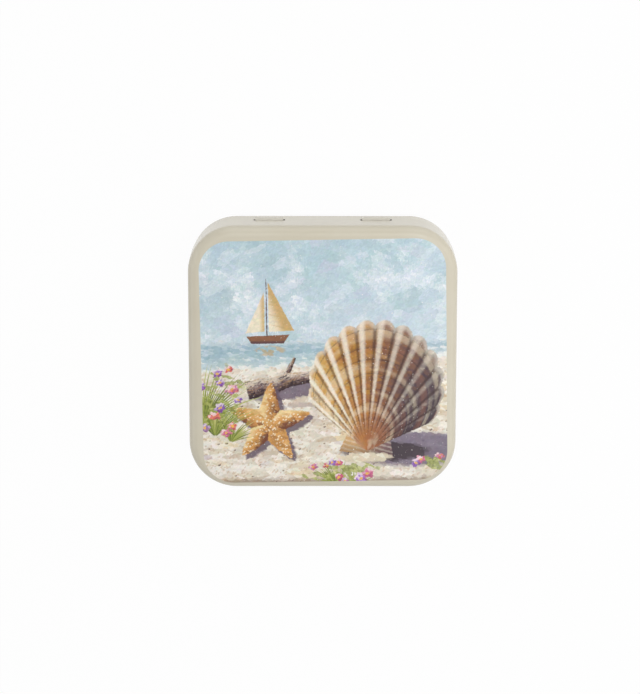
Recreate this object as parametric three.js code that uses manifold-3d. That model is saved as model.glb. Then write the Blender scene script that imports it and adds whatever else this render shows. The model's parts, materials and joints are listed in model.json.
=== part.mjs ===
// A small square hinged tin for sewing things, shown closed. It is two drawn tinplate pans: a base, and a
// lid that swings on two tabs rolled out of the base's back wall. Each tab comes out through a window in the
// lid's skirt and wraps round the rolled edge of the lid, which is the hinge's pin.
// Millimetres, +Z up, hinges at the back (+Y). The origin is on the table, under the middle of the tin.

import * as THREE from "three";
import { mergeVertices } from "three/addons/utils/BufferGeometryUtils.js";
import Module from "manifold-3d";

// Overall sizes
const lidWidth = 62; // across the skirts, left to right
const lidDepth = 62; // across the skirts, front to back, without the hinge knuckles
const tinHeight = 17; // closed, table to lid
const cornerRadius = 11; // in plan, over the lid's skirt
const sheet = 0.28; // tinplate with its lacquer

// Lid
const shoulderRadius = 2.1; // outside, where the top turns down into the skirt
const curlRadius = 0.6; // outside of the rolled edge of the skirt
const curlTurn = 270; // degrees that the edge is rolled through

// Hinge
const hingeHeight = 7.6; // centre of the lid's rolled edge above the table
const hingeSpacing = 24.7; // between the middles of the two knuckles
const knuckleWidth = 6.5; // length of a rolled tab along the hinge line
const knuckleClearance = 0.25; // between the rolled edge and the tab round it
const knuckleWrap = 68; // degrees that a tab carries on below the hinge line, on the outside
const windowSideGap = 0.4; // from each end of a knuckle to the window's side
const windowTopGap = 0.3; // from the top of a knuckle to the window's upper edge
const windowCornerRadius = 0.35;
const notchSideGap = 0.35; // from each end of a tab to the notch that it was bent out of
const notchDrop = 0.35; // how far the notch reaches below the hinge line
const notchCornerRadius = 0.3;
const tabRootOverlap = 0.1; // how far the modelled tab is let into the wall below its notch

// Base
const wallSetIn = 0.25; // lower wall, in from the lid's skirt
const bottomRadius = 2; // outside, where the floor turns up into the wall
const footWidth = 2.4; // flat ring that the tin stands on
const panelRise = 0.5; // how far the middle of the floor is pressed up
const panelBendRadius = 0.8; // centre line of the two bends round that panel
const ledgeGap = 0.15; // between the lid's rolled edge and the ledge under it
const ledgeBendRadius = 0.4; // centre line of the ledge's two bends
const wallDraft = 0.32; // how far the upper wall leans in by its rim
const draftBendRadius = 2; // centre line of the slight bend where it starts to lean
const rimRadius = 0.5; // outside of the rolled rim
const rimTurn = 270; // degrees that the rim is rolled through
const rimDrop = 2.7; // from the top of the tin down to the rim

// Fineness and drawing aids
const facetError = 0.012; // how far a facet may lie inside its arc
const cornerSteps = 10; // facets round each corner in plan
const slotCornerSteps = 3; // facets round each corner of a window or notch
const overrun = 1; // how far a cut runs past what it cuts

const lidOpening = 0; // degrees, closed

const { degToRad, radToDeg } = THREE.MathUtils;

// Sizes that follow from the ones above
const knuckleBore = curlRadius + knuckleClearance;
const knuckleRadius = knuckleBore + sheet;
const knuckleStandOut = knuckleRadius - curlRadius;
const centreY = -knuckleStandOut / 2; // sets the closed tin, knuckles included, over the origin
const backSkirtY = centreY + lidDepth / 2;
const hingeY = backSkirtY - curlRadius;
const upperWallInset = curlRadius + knuckleBore; // the tabs are part of this wall
const ledgeHeight = hingeHeight - curlRadius - ledgeGap;
const rimCentreHeight = tinHeight - rimDrop - rimRadius;
const draftStart = hingeHeight;
const draftAngle = Math.atan2(wallDraft, rimCentreHeight - draftStart);

const wasm = await Module();
wasm.setup();

function alongHeading(length, heading) {
  return new THREE.Vector2(length * Math.cos(heading), length * Math.sin(heading));
}

// The middle line of a pressed sheet in section. A point is how far it lies in from the lid's skirt and how
// high it is; a heading of 180 degrees runs outwards and 90 degrees runs up.
class SheetLine {
  constructor(inset, height, heading) {
    this.points = [];
    this.headings = [];
    this.heading = degToRad(heading);
    this.reach(new THREE.Vector2(inset, height));
  }

  get end() {
    return this.points.at(-1);
  }

  reach(point) {
    this.points.push(point);
    this.headings.push(this.heading);
    return this;
  }

  straight(length) {
    return this.reach(alongHeading(length, this.heading).add(this.end));
  }

  toHeight(height) {
    return this.straight((height - this.end.y) / Math.sin(this.heading));
  }

  toInset(inset) {
    return this.straight((inset - this.end.x) / Math.cos(this.heading));
  }

  // A positive angle turns left, seen along the line. A long bend goes a quarter turn at a time, so that the
  // points that stand out furthest lie on it.
  bend(degrees, radius) {
    const quarter = 90 * Math.sign(degrees);
    if (Math.abs(degrees) > 90) return this.bend(quarter, radius).bend(degrees - quarter, radius);
    const angle = degToRad(degrees);
    const towardsCentre = this.heading + (Math.sign(angle) * Math.PI) / 2;
    const centre = alongHeading(radius, towardsCentre).add(this.end);
    const largestStep = 2 * Math.acos(1 - facetError / radius);
    const steps = Math.max(2, Math.ceil(Math.abs(angle) / largestStep));
    for (let i = 0; i < steps; i++) {
      this.heading += angle / steps;
      this.reach(this.end.clone().rotateAround(centre, angle / steps));
    }
    return this;
  }

  // Both faces of the sheet: out along the right-hand face and back along the left-hand one.
  outline(thickness) {
    const face = (offset) =>
      this.points.map((point, i) => alongHeading(offset, this.headings[i] + Math.PI / 2).add(point));
    return [...face(-thickness / 2), ...face(thickness / 2).reverse()];
  }
}

// A pan: a section carried round the tin's plan, which is a square with round corners, and closed over its
// middle. The section starts on the upper face of the flat middle and ends on the lower face.
function panGeometry(section) {
  const cornerX = lidWidth / 2 - cornerRadius;
  const cornerY = lidDepth / 2 - cornerRadius;
  const corners = [[1, 1], [-1, 1], [-1, -1], [1, -1]];
  const plan = corners.flatMap(([sideX, sideY], corner) =>
    Array.from({ length: cornerSteps + 1 }, (_, step) => ({
      centre: new THREE.Vector2(sideX * cornerX, sideY * cornerY),
      angle: (corner + step / cornerSteps) * (Math.PI / 2),
    })),
  );
  const vertices = section.flatMap(({ x: inset, y: height }) =>
    plan.flatMap(({ centre, angle }) => {
      const radius = cornerRadius - inset;
      return [centre.x + radius * Math.cos(angle), centre.y + radius * Math.sin(angle), height];
    }),
  );
  const around = plan.length;
  const upperMiddle = section.length * around;
  const lowerMiddle = upperMiddle + 1;
  vertices.push(0, 0, section[0].y, 0, 0, section.at(-1).y);
  const faces = [];
  for (let i = 0; i < around; i++) {
    const next = (i + 1) % around;
    for (let ring = 0; ring < section.length - 1; ring++) {
      const [a, b] = [ring * around + i, ring * around + next];
      const [c, d] = [a + around, b + around];
      faces.push(a, c, d, a, d, b);
    }
    const last = (section.length - 1) * around;
    faces.push(upperMiddle, i, next, lowerMiddle, last + next, last + i);
  }
  return new THREE.BufferGeometry()
    .setAttribute("position", new THREE.Float32BufferAttribute(vertices, 3))
    .setIndex(faces)
    .translate(0, centreY, 0);
}

// A section in the plane that runs front to back, carried along the hinge line for one knuckle's width.
function barGeometry(section, middleX) {
  const points = section.map(({ x: inset, y: height }) => new THREE.Vector2(backSkirtY - inset, height));
  const [frontToBack, up, alongHinge] = [[0, 1, 0], [0, 0, 1], [1, 0, 0]].map(
    (axis) => new THREE.Vector3(...axis),
  );
  return new THREE.ExtrudeGeometry(new THREE.Shape(points), { depth: knuckleWidth, bevelEnabled: false })
    .applyMatrix4(new THREE.Matrix4().makeBasis(frontToBack, up, alongHinge))
    .translate(middleX - knuckleWidth / 2, 0, 0);
}

// A cutter with round corners that runs front to back through the back wall between two insets.
function slotGeometry(middleX, width, bottom, top, radius, outerInset, innerInset) {
  const [left, right] = [middleX - width / 2, middleX + width / 2];
  const shape = new THREE.Shape();
  shape.moveTo(left + radius, bottom);
  shape.lineTo(right - radius, bottom);
  shape.absarc(right - radius, bottom + radius, radius, -Math.PI / 2, 0);
  shape.absarc(right - radius, top - radius, radius, 0, Math.PI / 2);
  shape.absarc(left + radius, top - radius, radius, Math.PI / 2, Math.PI);
  shape.absarc(left + radius, bottom + radius, radius, Math.PI, Math.PI * 1.5);
  const depth = innerInset - outerInset;
  return new THREE.ExtrudeGeometry(shape, { depth, bevelEnabled: false, curveSegments: slotCornerSteps })
    .rotateX(Math.PI / 2)
    .translate(0, backSkirtY - outerInset, 0);
}

function solid(geometry) {
  const bare = geometry.clone();
  bare.deleteAttribute("normal");
  bare.deleteAttribute("uv");
  const merged = mergeVertices(bare);
  return new wasm.Manifold(
    new wasm.Mesh({
      numProp: 3,
      vertProperties: merged.attributes.position.array,
      triVerts: new Uint32Array(merged.index.array),
    }),
  );
}

function geometryOf(manifold) {
  const { vertProperties, triVerts } = manifold.getMesh();
  const geometry = new THREE.BufferGeometry()
    .setAttribute("position", new THREE.BufferAttribute(vertProperties, 3))
    .setIndex(new THREE.BufferAttribute(triVerts, 1))
    .toNonIndexed();
  geometry.computeVertexNormals();
  return geometry;
}

const knuckleMiddles = [-hingeSpacing / 2, hingeSpacing / 2];

// The lid's top turns down through the shoulder into the skirt, whose lower edge is rolled in and up.
function lidGeometry() {
  const section = new SheetLine(shoulderRadius, tinHeight - sheet / 2, 180)
    .bend(90, shoulderRadius - sheet / 2)
    .toHeight(hingeHeight)
    .bend(curlTurn, curlRadius - sheet / 2)
    .outline(sheet);
  const windowTop = hingeHeight + knuckleRadius + windowTopGap;
  const windows = knuckleMiddles.map((x) =>
    solid(
      slotGeometry(
        x,
        knuckleWidth + 2 * windowSideGap,
        hingeHeight,
        windowTop,
        windowCornerRadius,
        -overrun,
        (sheet + curlRadius) / 2,
      ),
    ),
  );
  return geometryOf(windows.reduce((lid, window) => lid.subtract(window), solid(panGeometry(section))));
}

// The tab stands up out of the back wall, then wraps over the lid's rolled edge and down its outside.
function knuckleSection() {
  return new SheetLine(upperWallInset + sheet / 2, hingeHeight - notchDrop - tabRootOverlap, 90)
    .toHeight(hingeHeight)
    .bend(180 + knuckleWrap, knuckleBore + sheet / 2)
    .outline(sheet);
}

// The floor has a raised panel inside the ring that it stands on. The wall steps in at the ledge, under the
// lid's rolled edge, leans in a little inside the lid and ends in a rolled rim.
function baseGeometry() {
  const panelBendAngle = radToDeg(Math.acos(1 - panelRise / (2 * panelBendRadius)));
  const panelSlopeRun = 2 * panelBendRadius * Math.sin(degToRad(panelBendAngle));
  const panelEdge = wallSetIn + bottomRadius + footWidth + panelSlopeRun;
  const section = new SheetLine(panelEdge, panelRise + sheet / 2, 180)
    .bend(panelBendAngle, panelBendRadius)
    .bend(-panelBendAngle, panelBendRadius)
    .toInset(wallSetIn + bottomRadius)
    .bend(-90, bottomRadius - sheet / 2)
    .toHeight(ledgeHeight - sheet / 2 - ledgeBendRadius)
    .bend(-90, ledgeBendRadius)
    .toInset(upperWallInset + sheet / 2 - ledgeBendRadius)
    .bend(90, ledgeBendRadius)
    .toHeight(draftStart)
    .bend(-radToDeg(draftAngle), draftBendRadius)
    .toHeight(rimCentreHeight)
    .bend(-rimTurn, rimRadius - sheet / 2)
    .outline(sheet);
  const rimInnerInset = upperWallInset + wallDraft + 2 * rimRadius;
  const pan = knuckleMiddles
    .map((x) =>
      solid(
        slotGeometry(
          x,
          knuckleWidth + 2 * notchSideGap,
          hingeHeight - notchDrop,
          tinHeight,
          notchCornerRadius,
          upperWallInset - sheet,
          rimInnerInset + overrun,
        ),
      ),
    )
    .reduce((base, notch) => base.subtract(notch), solid(panGeometry(section)));
  const tabs = knuckleMiddles.map((x) => solid(barGeometry(knuckleSection(), x)));
  return geometryOf(tabs.reduce((base, tab) => base.add(tab), pan));
}

const creamLacquer = { color: 0xd6cfbc, roughness: 0.2, metalness: 0 };

const base = new THREE.Mesh(baseGeometry(), new THREE.MeshStandardMaterial(creamLacquer));
base.name = "tin_base";

const lid = new THREE.Mesh(
  lidGeometry().translate(0, -hingeY, -hingeHeight),
  new THREE.MeshStandardMaterial(creamLacquer),
);
lid.name = "tin_lid";

const lidHinge = new THREE.Group();
lidHinge.position.set(0, hingeY, hingeHeight);
lidHinge.rotation.x = -degToRad(lidOpening);
lidHinge.add(lid);

const tin = new THREE.Group();
tin.add(base, lidHinge);

export default tin;
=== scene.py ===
"""A small square sewing tin: two pressings of printed tinplate on a rolled hinge, in a pale studio."""

import json
import logging
import math
from collections.abc import Sequence
from dataclasses import dataclass
from enum import IntEnum
from typing import Protocol

import bpy
import numpy as np
from mathutils import Matrix, Vector


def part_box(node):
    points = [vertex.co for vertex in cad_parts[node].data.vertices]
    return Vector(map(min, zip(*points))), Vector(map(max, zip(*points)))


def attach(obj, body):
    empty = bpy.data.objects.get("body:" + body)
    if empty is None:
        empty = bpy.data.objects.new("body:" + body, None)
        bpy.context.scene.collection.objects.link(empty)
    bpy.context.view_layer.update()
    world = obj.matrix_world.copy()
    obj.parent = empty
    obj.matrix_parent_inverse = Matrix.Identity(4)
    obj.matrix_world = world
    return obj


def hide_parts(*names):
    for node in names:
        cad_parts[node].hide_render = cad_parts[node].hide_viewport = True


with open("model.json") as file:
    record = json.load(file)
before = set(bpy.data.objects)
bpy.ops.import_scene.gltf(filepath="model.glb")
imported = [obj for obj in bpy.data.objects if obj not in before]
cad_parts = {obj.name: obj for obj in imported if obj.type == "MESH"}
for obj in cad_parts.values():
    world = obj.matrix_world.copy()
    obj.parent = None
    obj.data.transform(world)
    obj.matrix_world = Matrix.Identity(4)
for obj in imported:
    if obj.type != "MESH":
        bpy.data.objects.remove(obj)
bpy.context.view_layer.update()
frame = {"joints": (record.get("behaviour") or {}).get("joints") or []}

log = logging.getLogger("sewing_tin")

MM = 0.001  # one millimetre, in metres
SHEET = 0.28 * MM  # tinplate with its lacquer
HINGE_SPACING = 24.7 * MM  # between the middles of the two knuckles
KNUCKLE_WIDTH = 6.5 * MM  # length of a rolled tab along the hinge line
KNUCKLE_CLEARANCE = 0.25 * MM  # between the lid's rolled edge and the tab round it
KNUCKLE_MIDDLES = (-HINGE_SPACING / 2, HINGE_SPACING / 2)

OUTWARDS = 180.0  # heading of a section's line, in degrees
UPWARDS = 90.0
QUARTER = 90.0  # degrees that a line turns by

BEND_STEP = math.radians(9)  # one row's turn in a bend of the sheet
ROW_SPACING = 1.5 * MM  # widest row on a straight part of a section
SUPPORT = 0.1 * MM  # a row this close to each end of a straight keeps the bend's shading off it
CORNER_STEPS = 20  # facets round each corner of the tin in plan
COLUMN_SPACING = 2.6 * MM
SLOT_CORNER_STEPS = 6  # facets round each corner of a window or notch
CREASE_ANGLE = math.radians(40)  # sharper edges than this are shaded sharp
TOUCH = 1e-9  # lengths closer than this are the same, in metres
PLACE_DECIMALS = 10  # of a metre, that tell two grid lines apart
GAP_SLACK = 0.001  # a gap that is too wide by this share still gets no further line

Colour = tuple[float, float, float]
Stops = tuple[tuple[float, Colour], ...]  # of a ramp: places and colours
Pair = tuple[float, float]
Levels = tuple[float, float, float, float]  # between which a band rises and falls


def paint_chip(red: int, green: int, blue: int) -> Colour:
    """Turns a colour as a screen shows it into the linear light that shaders read.

    Below 4 % it is the value over 12.92, and above that ((value + 0.055) / 1.055) to the power 2.4.

    Args:
        red, green, blue: The colour, each from 0 to 255.

    Returns:
        Three numbers from 0 to 1.
    """
    shares = (red / 255, green / 255, blue / 255)
    return tuple(s / 12.92 if s <= 0.04045 else ((s + 0.055) / 1.055) ** 2.4 for s in shares)


def filled_lines(low: float, high: float, spacing: float, marks: Sequence[float] = ()) -> np.ndarray:
    """Places lines from one end to the other: every mark between them, and equal steps in each wide gap.

    Args:
        low, high: The two ends.
        spacing: The widest gap that is left open.
        marks: Places that have to get a line.

    Returns:
        The sorted places, both ends included.
    """
    marks = np.asarray(marks, float)
    inside = marks[(marks > low + TOUCH) & (marks < high - TOUCH)]
    stations = np.unique(np.round(np.concatenate([[low, high], inside]), PLACE_DECIMALS))
    gaps = np.diff(stations)
    counts = np.maximum(1, np.ceil(gaps / spacing - GAP_SLACK)).astype(int)
    within = np.arange(counts.sum()) - np.repeat(np.cumsum(counts) - counts, counts)
    return np.append(np.repeat(stations[:-1], counts) + np.repeat(gaps / counts, counts) * within, high)


class SheetLine:
    """The middle line of a pressed sheet in section.

    Each row holds how far the line lies in from the lid's skirt, its height and its heading. A heading of
    180 degrees runs outwards and one of 90 degrees runs up.
    """

    def __init__(self, inset: float, height: float, heading: float) -> None:
        """Starts the line at a place, with its heading in degrees."""
        self.blocks = [np.array([[inset, height, math.radians(heading)]])]

    @property
    def end(self) -> np.ndarray:
        """The last row."""
        return self.blocks[-1][-1]

    @property
    def rows(self) -> np.ndarray:
        """All rows as one array of inset, height and heading."""
        return np.concatenate(self.blocks)

    @property
    def runs(self) -> np.ndarray:
        """How far along the line each row lies: the running sum of the distances between rows."""
        steps = np.diff(self.rows[:, :2], axis=0)
        return np.concatenate([[0.0], np.cumsum(np.hypot(*steps.T))])

    def straight(self, length: float, marks: Sequence[float] = ()) -> "SheetLine":
        """Carries on straight: each row is the end plus its distance along the heading.

        Args:
            length: How far.
            marks: Distances from the start of the straight that have to get a row.

        Returns:
            The line itself.
        """
        inset, height, heading = self.end
        along = filled_lines(0, length, ROW_SPACING, [SUPPORT, length - SUPPORT, *marks])[1:]
        rows = [
            inset + along * math.cos(heading),
            height + along * math.sin(heading),
            np.full_like(along, heading),
        ]
        self.blocks.append(np.column_stack(rows))
        return self

    def to_height(self, height: float, marks: Sequence[float] = ()) -> "SheetLine":
        """Carries on straight to a height, with a row at each marked height."""
        start, slope = self.end[1], math.sin(self.end[2])
        return self.straight((height - start) / slope, [(mark - start) / slope for mark in marks])

    def to_inset(self, inset: float) -> "SheetLine":
        """Carries on straight to an inset."""
        return self.straight((inset - self.end[0]) / math.cos(self.end[2]))

    def bend(self, degrees: float, radius: float) -> "SheetLine":
        """Bends along an arc: its centre plus the radius in the direction square to each heading.

        Args:
            degrees: The turn. A positive one goes left, seen along the line.
            radius: The arc's radius.

        Returns:
            The line itself.
        """
        inset, height, heading = self.end
        turn = math.radians(degrees)
        side = math.copysign(math.pi / 2, turn)
        centre = [inset + radius * math.cos(heading + side), height + radius * math.sin(heading + side)]
        headings = heading + np.linspace(0, turn, math.ceil(abs(turn) / BEND_STEP) + 1)[1:]
        away = headings - side
        rows = [centre[0] + radius * np.cos(away), centre[1] + radius * np.sin(away), headings]
        self.blocks.append(np.column_stack(rows))
        return self


@dataclass(frozen=True)
class RoundedSlot:
    """An opening with round corners in the back wall, by its middle, half width, lower and upper edge."""

    middle: float
    half_width: float
    bottom: float
    top: float
    corner_radius: float

    @property
    def corner_lines(self) -> np.ndarray:
        """How far in from an edge the grid lines through the round corner lie: r less r times the cosine."""
        return self.corner_radius * (1 - np.cos(np.linspace(0, np.pi / 2, SLOT_CORNER_STEPS + 1)))

    @property
    def upright_marks(self) -> np.ndarray:
        """The x of every upright grid line that the opening needs."""
        edges = self.half_width - self.corner_lines
        return self.middle + np.concatenate([-edges, edges])

    @property
    def level_marks(self) -> np.ndarray:
        """The height of every level grid line that the opening needs."""
        return np.concatenate([self.bottom + self.corner_lines, self.top - self.corner_lines])

    def clearance(self, x: np.ndarray, height: np.ndarray) -> np.ndarray:
        """Distance outside the opening, negative inside it.

        It is the distance to a box smaller by the corner radius, less that radius.

        Args:
            x, height: Places on the back wall, as arrays of one shape.

        Returns:
            The distances in the same shape.
        """
        across = np.abs(x - self.middle) - (self.half_width - self.corner_radius)
        middle, half_height = (self.bottom + self.top) / 2, (self.top - self.bottom) / 2
        upright = np.abs(height - middle) - (half_height - self.corner_radius)
        outside = np.hypot(np.maximum(across, 0), np.maximum(upright, 0))
        return outside + np.minimum(np.maximum(across, upright), 0) - self.corner_radius


@dataclass(frozen=True)
class PlanColumns:
    """The columns of a pan's grid, anticlockwise: a point is its anchor plus outward times a radius."""

    anchors: np.ndarray
    outward: np.ndarray

    @property
    def back_x(self) -> np.ndarray:
        """The x of each column on the straight back wall, and infinity elsewhere."""
        return np.where(self.outward[:, 1] > 1 - TOUCH, self.anchors[:, 0], np.inf)

    def clearance(self, slots: Sequence[RoundedSlot], heights: np.ndarray) -> np.ndarray:
        """How far outside the nearest opening each point lies, by the rows' heights on the back wall."""
        return np.minimum.reduce([slot.clearance(self.back_x[None, :], heights[:, None]) for slot in slots])


@dataclass(frozen=True)
class RoundSquare:
    """The tin's plan over the lid's skirt: a square with round corners."""

    half_width: float
    half_depth: float
    middle_y: float
    corner_radius: float = 11 * MM

    @property
    def back_y(self) -> float:
        """Where the outside of the lid's back skirt lies."""
        return self.middle_y + self.half_depth

    def columns(self, back_marks: Sequence[float]) -> PlanColumns:
        """Goes round the plan: along each side, then round the corner after it.

        On a side the anchor moves and outward is square to the side. Round a corner the anchor is the
        corner's centre and outward turns through a quarter.

        Args:
            back_marks: The x of each column that the back wall has to have.

        Returns:
            The columns, from the right-hand side round by the back.
        """
        reach = np.array([self.half_width, self.half_depth]) - self.corner_radius
        anchors, outward = [], []
        for side in range(4):
            heading = side * math.pi / 2
            square = np.array([math.cos(heading), math.sin(heading)])
            forward = np.array([-math.sin(heading), math.cos(heading)])
            half_length = reach[1 - side % 2]
            marks = half_length - np.asarray(back_marks) if side == 1 else ()
            along = filled_lines(0, 2 * half_length, COLUMN_SPACING, marks)[1:-1] - half_length
            middle = square * reach[side % 2] + [0, self.middle_y]
            turn = heading + np.linspace(0, math.pi / 2, CORNER_STEPS + 1)
            centre = middle + forward * half_length
            anchors += [middle + np.outer(along, forward), np.tile(centre, (len(turn), 1))]
            outward += [np.tile(square, (len(along), 1)), np.column_stack([np.cos(turn), np.sin(turn)])]
        return PlanColumns(np.concatenate(anchors), np.concatenate(outward))


def placed(name: str, data: bpy.types.ID) -> bpy.types.Object:
    """Puts a new object into the scene.

    Args:
        name: Its name.
        data: Its mesh, camera or lamp.

    Returns:
        The object, at the origin.
    """
    thing = bpy.data.objects.new(name, data)
    bpy.context.scene.collection.objects.link(thing)
    return thing


class Face(IntEnum):
    """The material slot of each kind of face on a piece of sheet."""

    OUTSIDE = 0
    INSIDE = 1
    CUT_EDGE = 2


class SheetSurface:
    """The middle surface of a piece of sheet: numbered points, their left-hand normals, and its faces."""

    def __init__(self) -> None:
        """Starts with no points and no faces."""
        self.points = np.empty((0, 3))
        self.normals = np.empty((0, 3))
        self.quads = np.empty((0, 4), int)
        self.triangles = np.empty((0, 3), int)

    def add_points(self, points: np.ndarray, normals: np.ndarray) -> np.ndarray:
        """Adds a grid of points with their normals.

        Args:
            points, normals: Arrays whose last axis is x, y and z.

        Returns:
            The points' numbers, in the grid's shape.
        """
        first = len(self.points)
        self.points = np.concatenate([self.points, points.reshape(-1, 3)])
        self.normals = np.concatenate([self.normals, normals.reshape(-1, 3)])
        return first + np.arange(points[..., 0].size).reshape(points.shape[:-1])

    def add_grid(self, numbers: np.ndarray, clearance: np.ndarray | None = None) -> None:
        """Puts a face in each cell of a grid, except in its openings.

        An opening's edge runs along grid lines, and across its corner cells from corner to corner, so such a
        cell keeps the triangle outside the opening.

        Args:
            numbers: The points' numbers, by row and column.
            clearance: Each point's distance outside the openings, in the same shape.
        """
        def corners(grid: np.ndarray) -> np.ndarray:
            """The four corners of each cell, in the order that faces the left-hand side."""
            cells = [grid[:-1, :-1], grid[:-1, 1:], grid[1:, 1:], grid[1:, :-1]]
            return np.stack(cells, axis=-1).reshape(-1, 4)

        cells = corners(numbers)
        if clearance is None:
            self.quads = np.concatenate([self.quads, cells])
            return
        gaps = corners(clearance)
        inside = gaps < -TOUCH
        kept_corners = (gaps > TOUCH).sum(axis=1)
        whole = (inside.sum(axis=1) == 0) & (kept_corners > 0)
        split = (inside.sum(axis=1) == 1) & (kept_corners == 1)
        others = (inside[split].argmax(axis=1)[:, None] + [1, 2, 3]) % 4
        self.quads = np.concatenate([self.quads, cells[whole]])
        self.triangles = np.concatenate([self.triangles, np.take_along_axis(cells[split], others, axis=1)])

    def add_pole(self, centre: np.ndarray, normal: np.ndarray, ring: np.ndarray) -> None:
        """Closes a ring of points with a fan of triangles round a centre point.

        Args:
            centre, normal: The new point and its normal.
            ring: The numbers of the ring's points, anticlockwise.
        """
        pole = self.add_points(centre[None], normal[None])
        following = np.roll(ring, -1)
        fan = np.column_stack([np.full(len(ring), pole[0]), following, ring])
        self.triangles = np.concatenate([self.triangles, fan])

    def free_edges(self) -> np.ndarray:
        """Finds the edges that only one face has: those whose reverse isn't an edge of any face.

        Returns:
            Each edge's first and second point along its face.
        """
        edges = np.concatenate([
            np.column_stack([faces[:, corner], np.roll(faces, -1, axis=1)[:, corner]])
            for faces in (self.quads, self.triangles)
            for corner in range(faces.shape[1])
        ])
        code = edges @ [len(self.points), 1]
        return edges[~np.isin(code, edges[:, ::-1] @ [len(self.points), 1])]

    def thickened(self, name: str, left: Face, right: Face) -> bpy.types.Object:
        """Makes the sheet solid: each face is the middle surface moved half the sheet along its normals.

        A strip of four-sided faces joins the two along every free edge.

        Args:
            name: The new object's name.
            left, right: What the left-hand and the right-hand face of the sheet are.

        Returns:
            The new object, at the origin.
        """
        used, renumbered = np.unique(
            np.concatenate([self.quads.ravel(), self.triangles.ravel()]), return_inverse=True
        )
        self.quads = renumbered[:self.quads.size].reshape(-1, 4)
        self.triangles = renumbered[self.quads.size:].reshape(-1, 3)
        self.points, self.normals = self.points[used], self.normals[used]
        count = len(used)
        offset = self.normals * (SHEET / 2)
        edges = self.free_edges()
        strips = np.column_stack([edges + count, edges[:, ::-1]])
        groups = [
            (self.quads, left), (self.triangles, left),
            (self.quads[:, ::-1] + count, right), (self.triangles[:, ::-1] + count, right),
            (strips, Face.CUT_EDGE),
        ]
        mesh = bpy.data.meshes.new(name)
        vertices = np.concatenate([self.points + offset, self.points - offset])
        mesh.from_pydata(vertices.tolist(), [], [face for group, _ in groups for face in group.tolist()])
        kinds = np.repeat([int(kind) for _, kind in groups], [len(group) for group, _ in groups])
        mesh.polygons.foreach_set("material_index", kinds.astype(np.int32))
        mesh.shade_smooth()
        mesh.set_sharp_from_angle(angle=CREASE_ANGLE)
        mesh.update()
        return placed(name, mesh)


@dataclass(frozen=True)
class PanGrid:
    """A section carried round the tin's plan, with its flat middle filled by shrinking rings."""

    plan: RoundSquare
    columns: PlanColumns
    line: SheetLine
    cap_shares: tuple[float, ...] = (0.12, 0.25, 0.38, 0.5, 0.62, 0.74, 0.85, 0.94, 0.985)

    def normals(self, headings: np.ndarray) -> np.ndarray:
        """Works out the left-hand normals: the sine of the heading outwards, its cosine upwards.

        Args:
            headings: Each row's heading.

        Returns:
            The normals, by row and column.
        """
        normals = np.empty((len(headings), len(self.columns.outward), 3))
        normals[..., :2] = np.sin(headings)[:, None, None] * self.columns.outward
        normals[..., 2] = np.cos(headings)[:, None]
        return normals

    def add_to(self, surface: SheetSurface, clearance: np.ndarray | None = None) -> np.ndarray:
        """Adds the pan to a surface.

        A point is its column's anchor, plus outward times the corner radius less the row's inset, at the
        row's height. The rings of the flat middle are the first row, shrunk towards the centre.

        Args:
            surface: What the pan is added to.
            clearance: Each point's distance outside the openings, by row and column.

        Returns:
            The numbers of the section's points, by row and column.
        """
        insets, heights, headings = self.line.rows.T
        radii = self.plan.corner_radius - insets
        points = np.empty((len(insets), len(self.columns.anchors), 3))
        points[..., :2] = self.columns.anchors + radii[:, None, None] * self.columns.outward
        points[..., 2] = heights[:, None]
        centre = np.array([0, self.plan.middle_y, heights[0]])
        shares = np.array(self.cap_shares)[:, None, None]
        rings = centre + shares * (points[0] - centre)
        normals = self.normals(headings)
        numbers = surface.add_points(points, normals)
        ring_numbers = surface.add_points(rings, np.tile(normals[0], (len(rings), 1, 1)))
        surface.add_pole(centre, normals[0, 0], ring_numbers[0])
        cap = np.concatenate([ring_numbers, numbers[:1]])
        surface.add_grid(np.column_stack([cap, cap[:, 0]]))
        if clearance is not None:
            clearance = np.column_stack([clearance, clearance[:, 0]])
        surface.add_grid(np.column_stack([numbers, numbers[:, 0]]), clearance)
        return numbers


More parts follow.
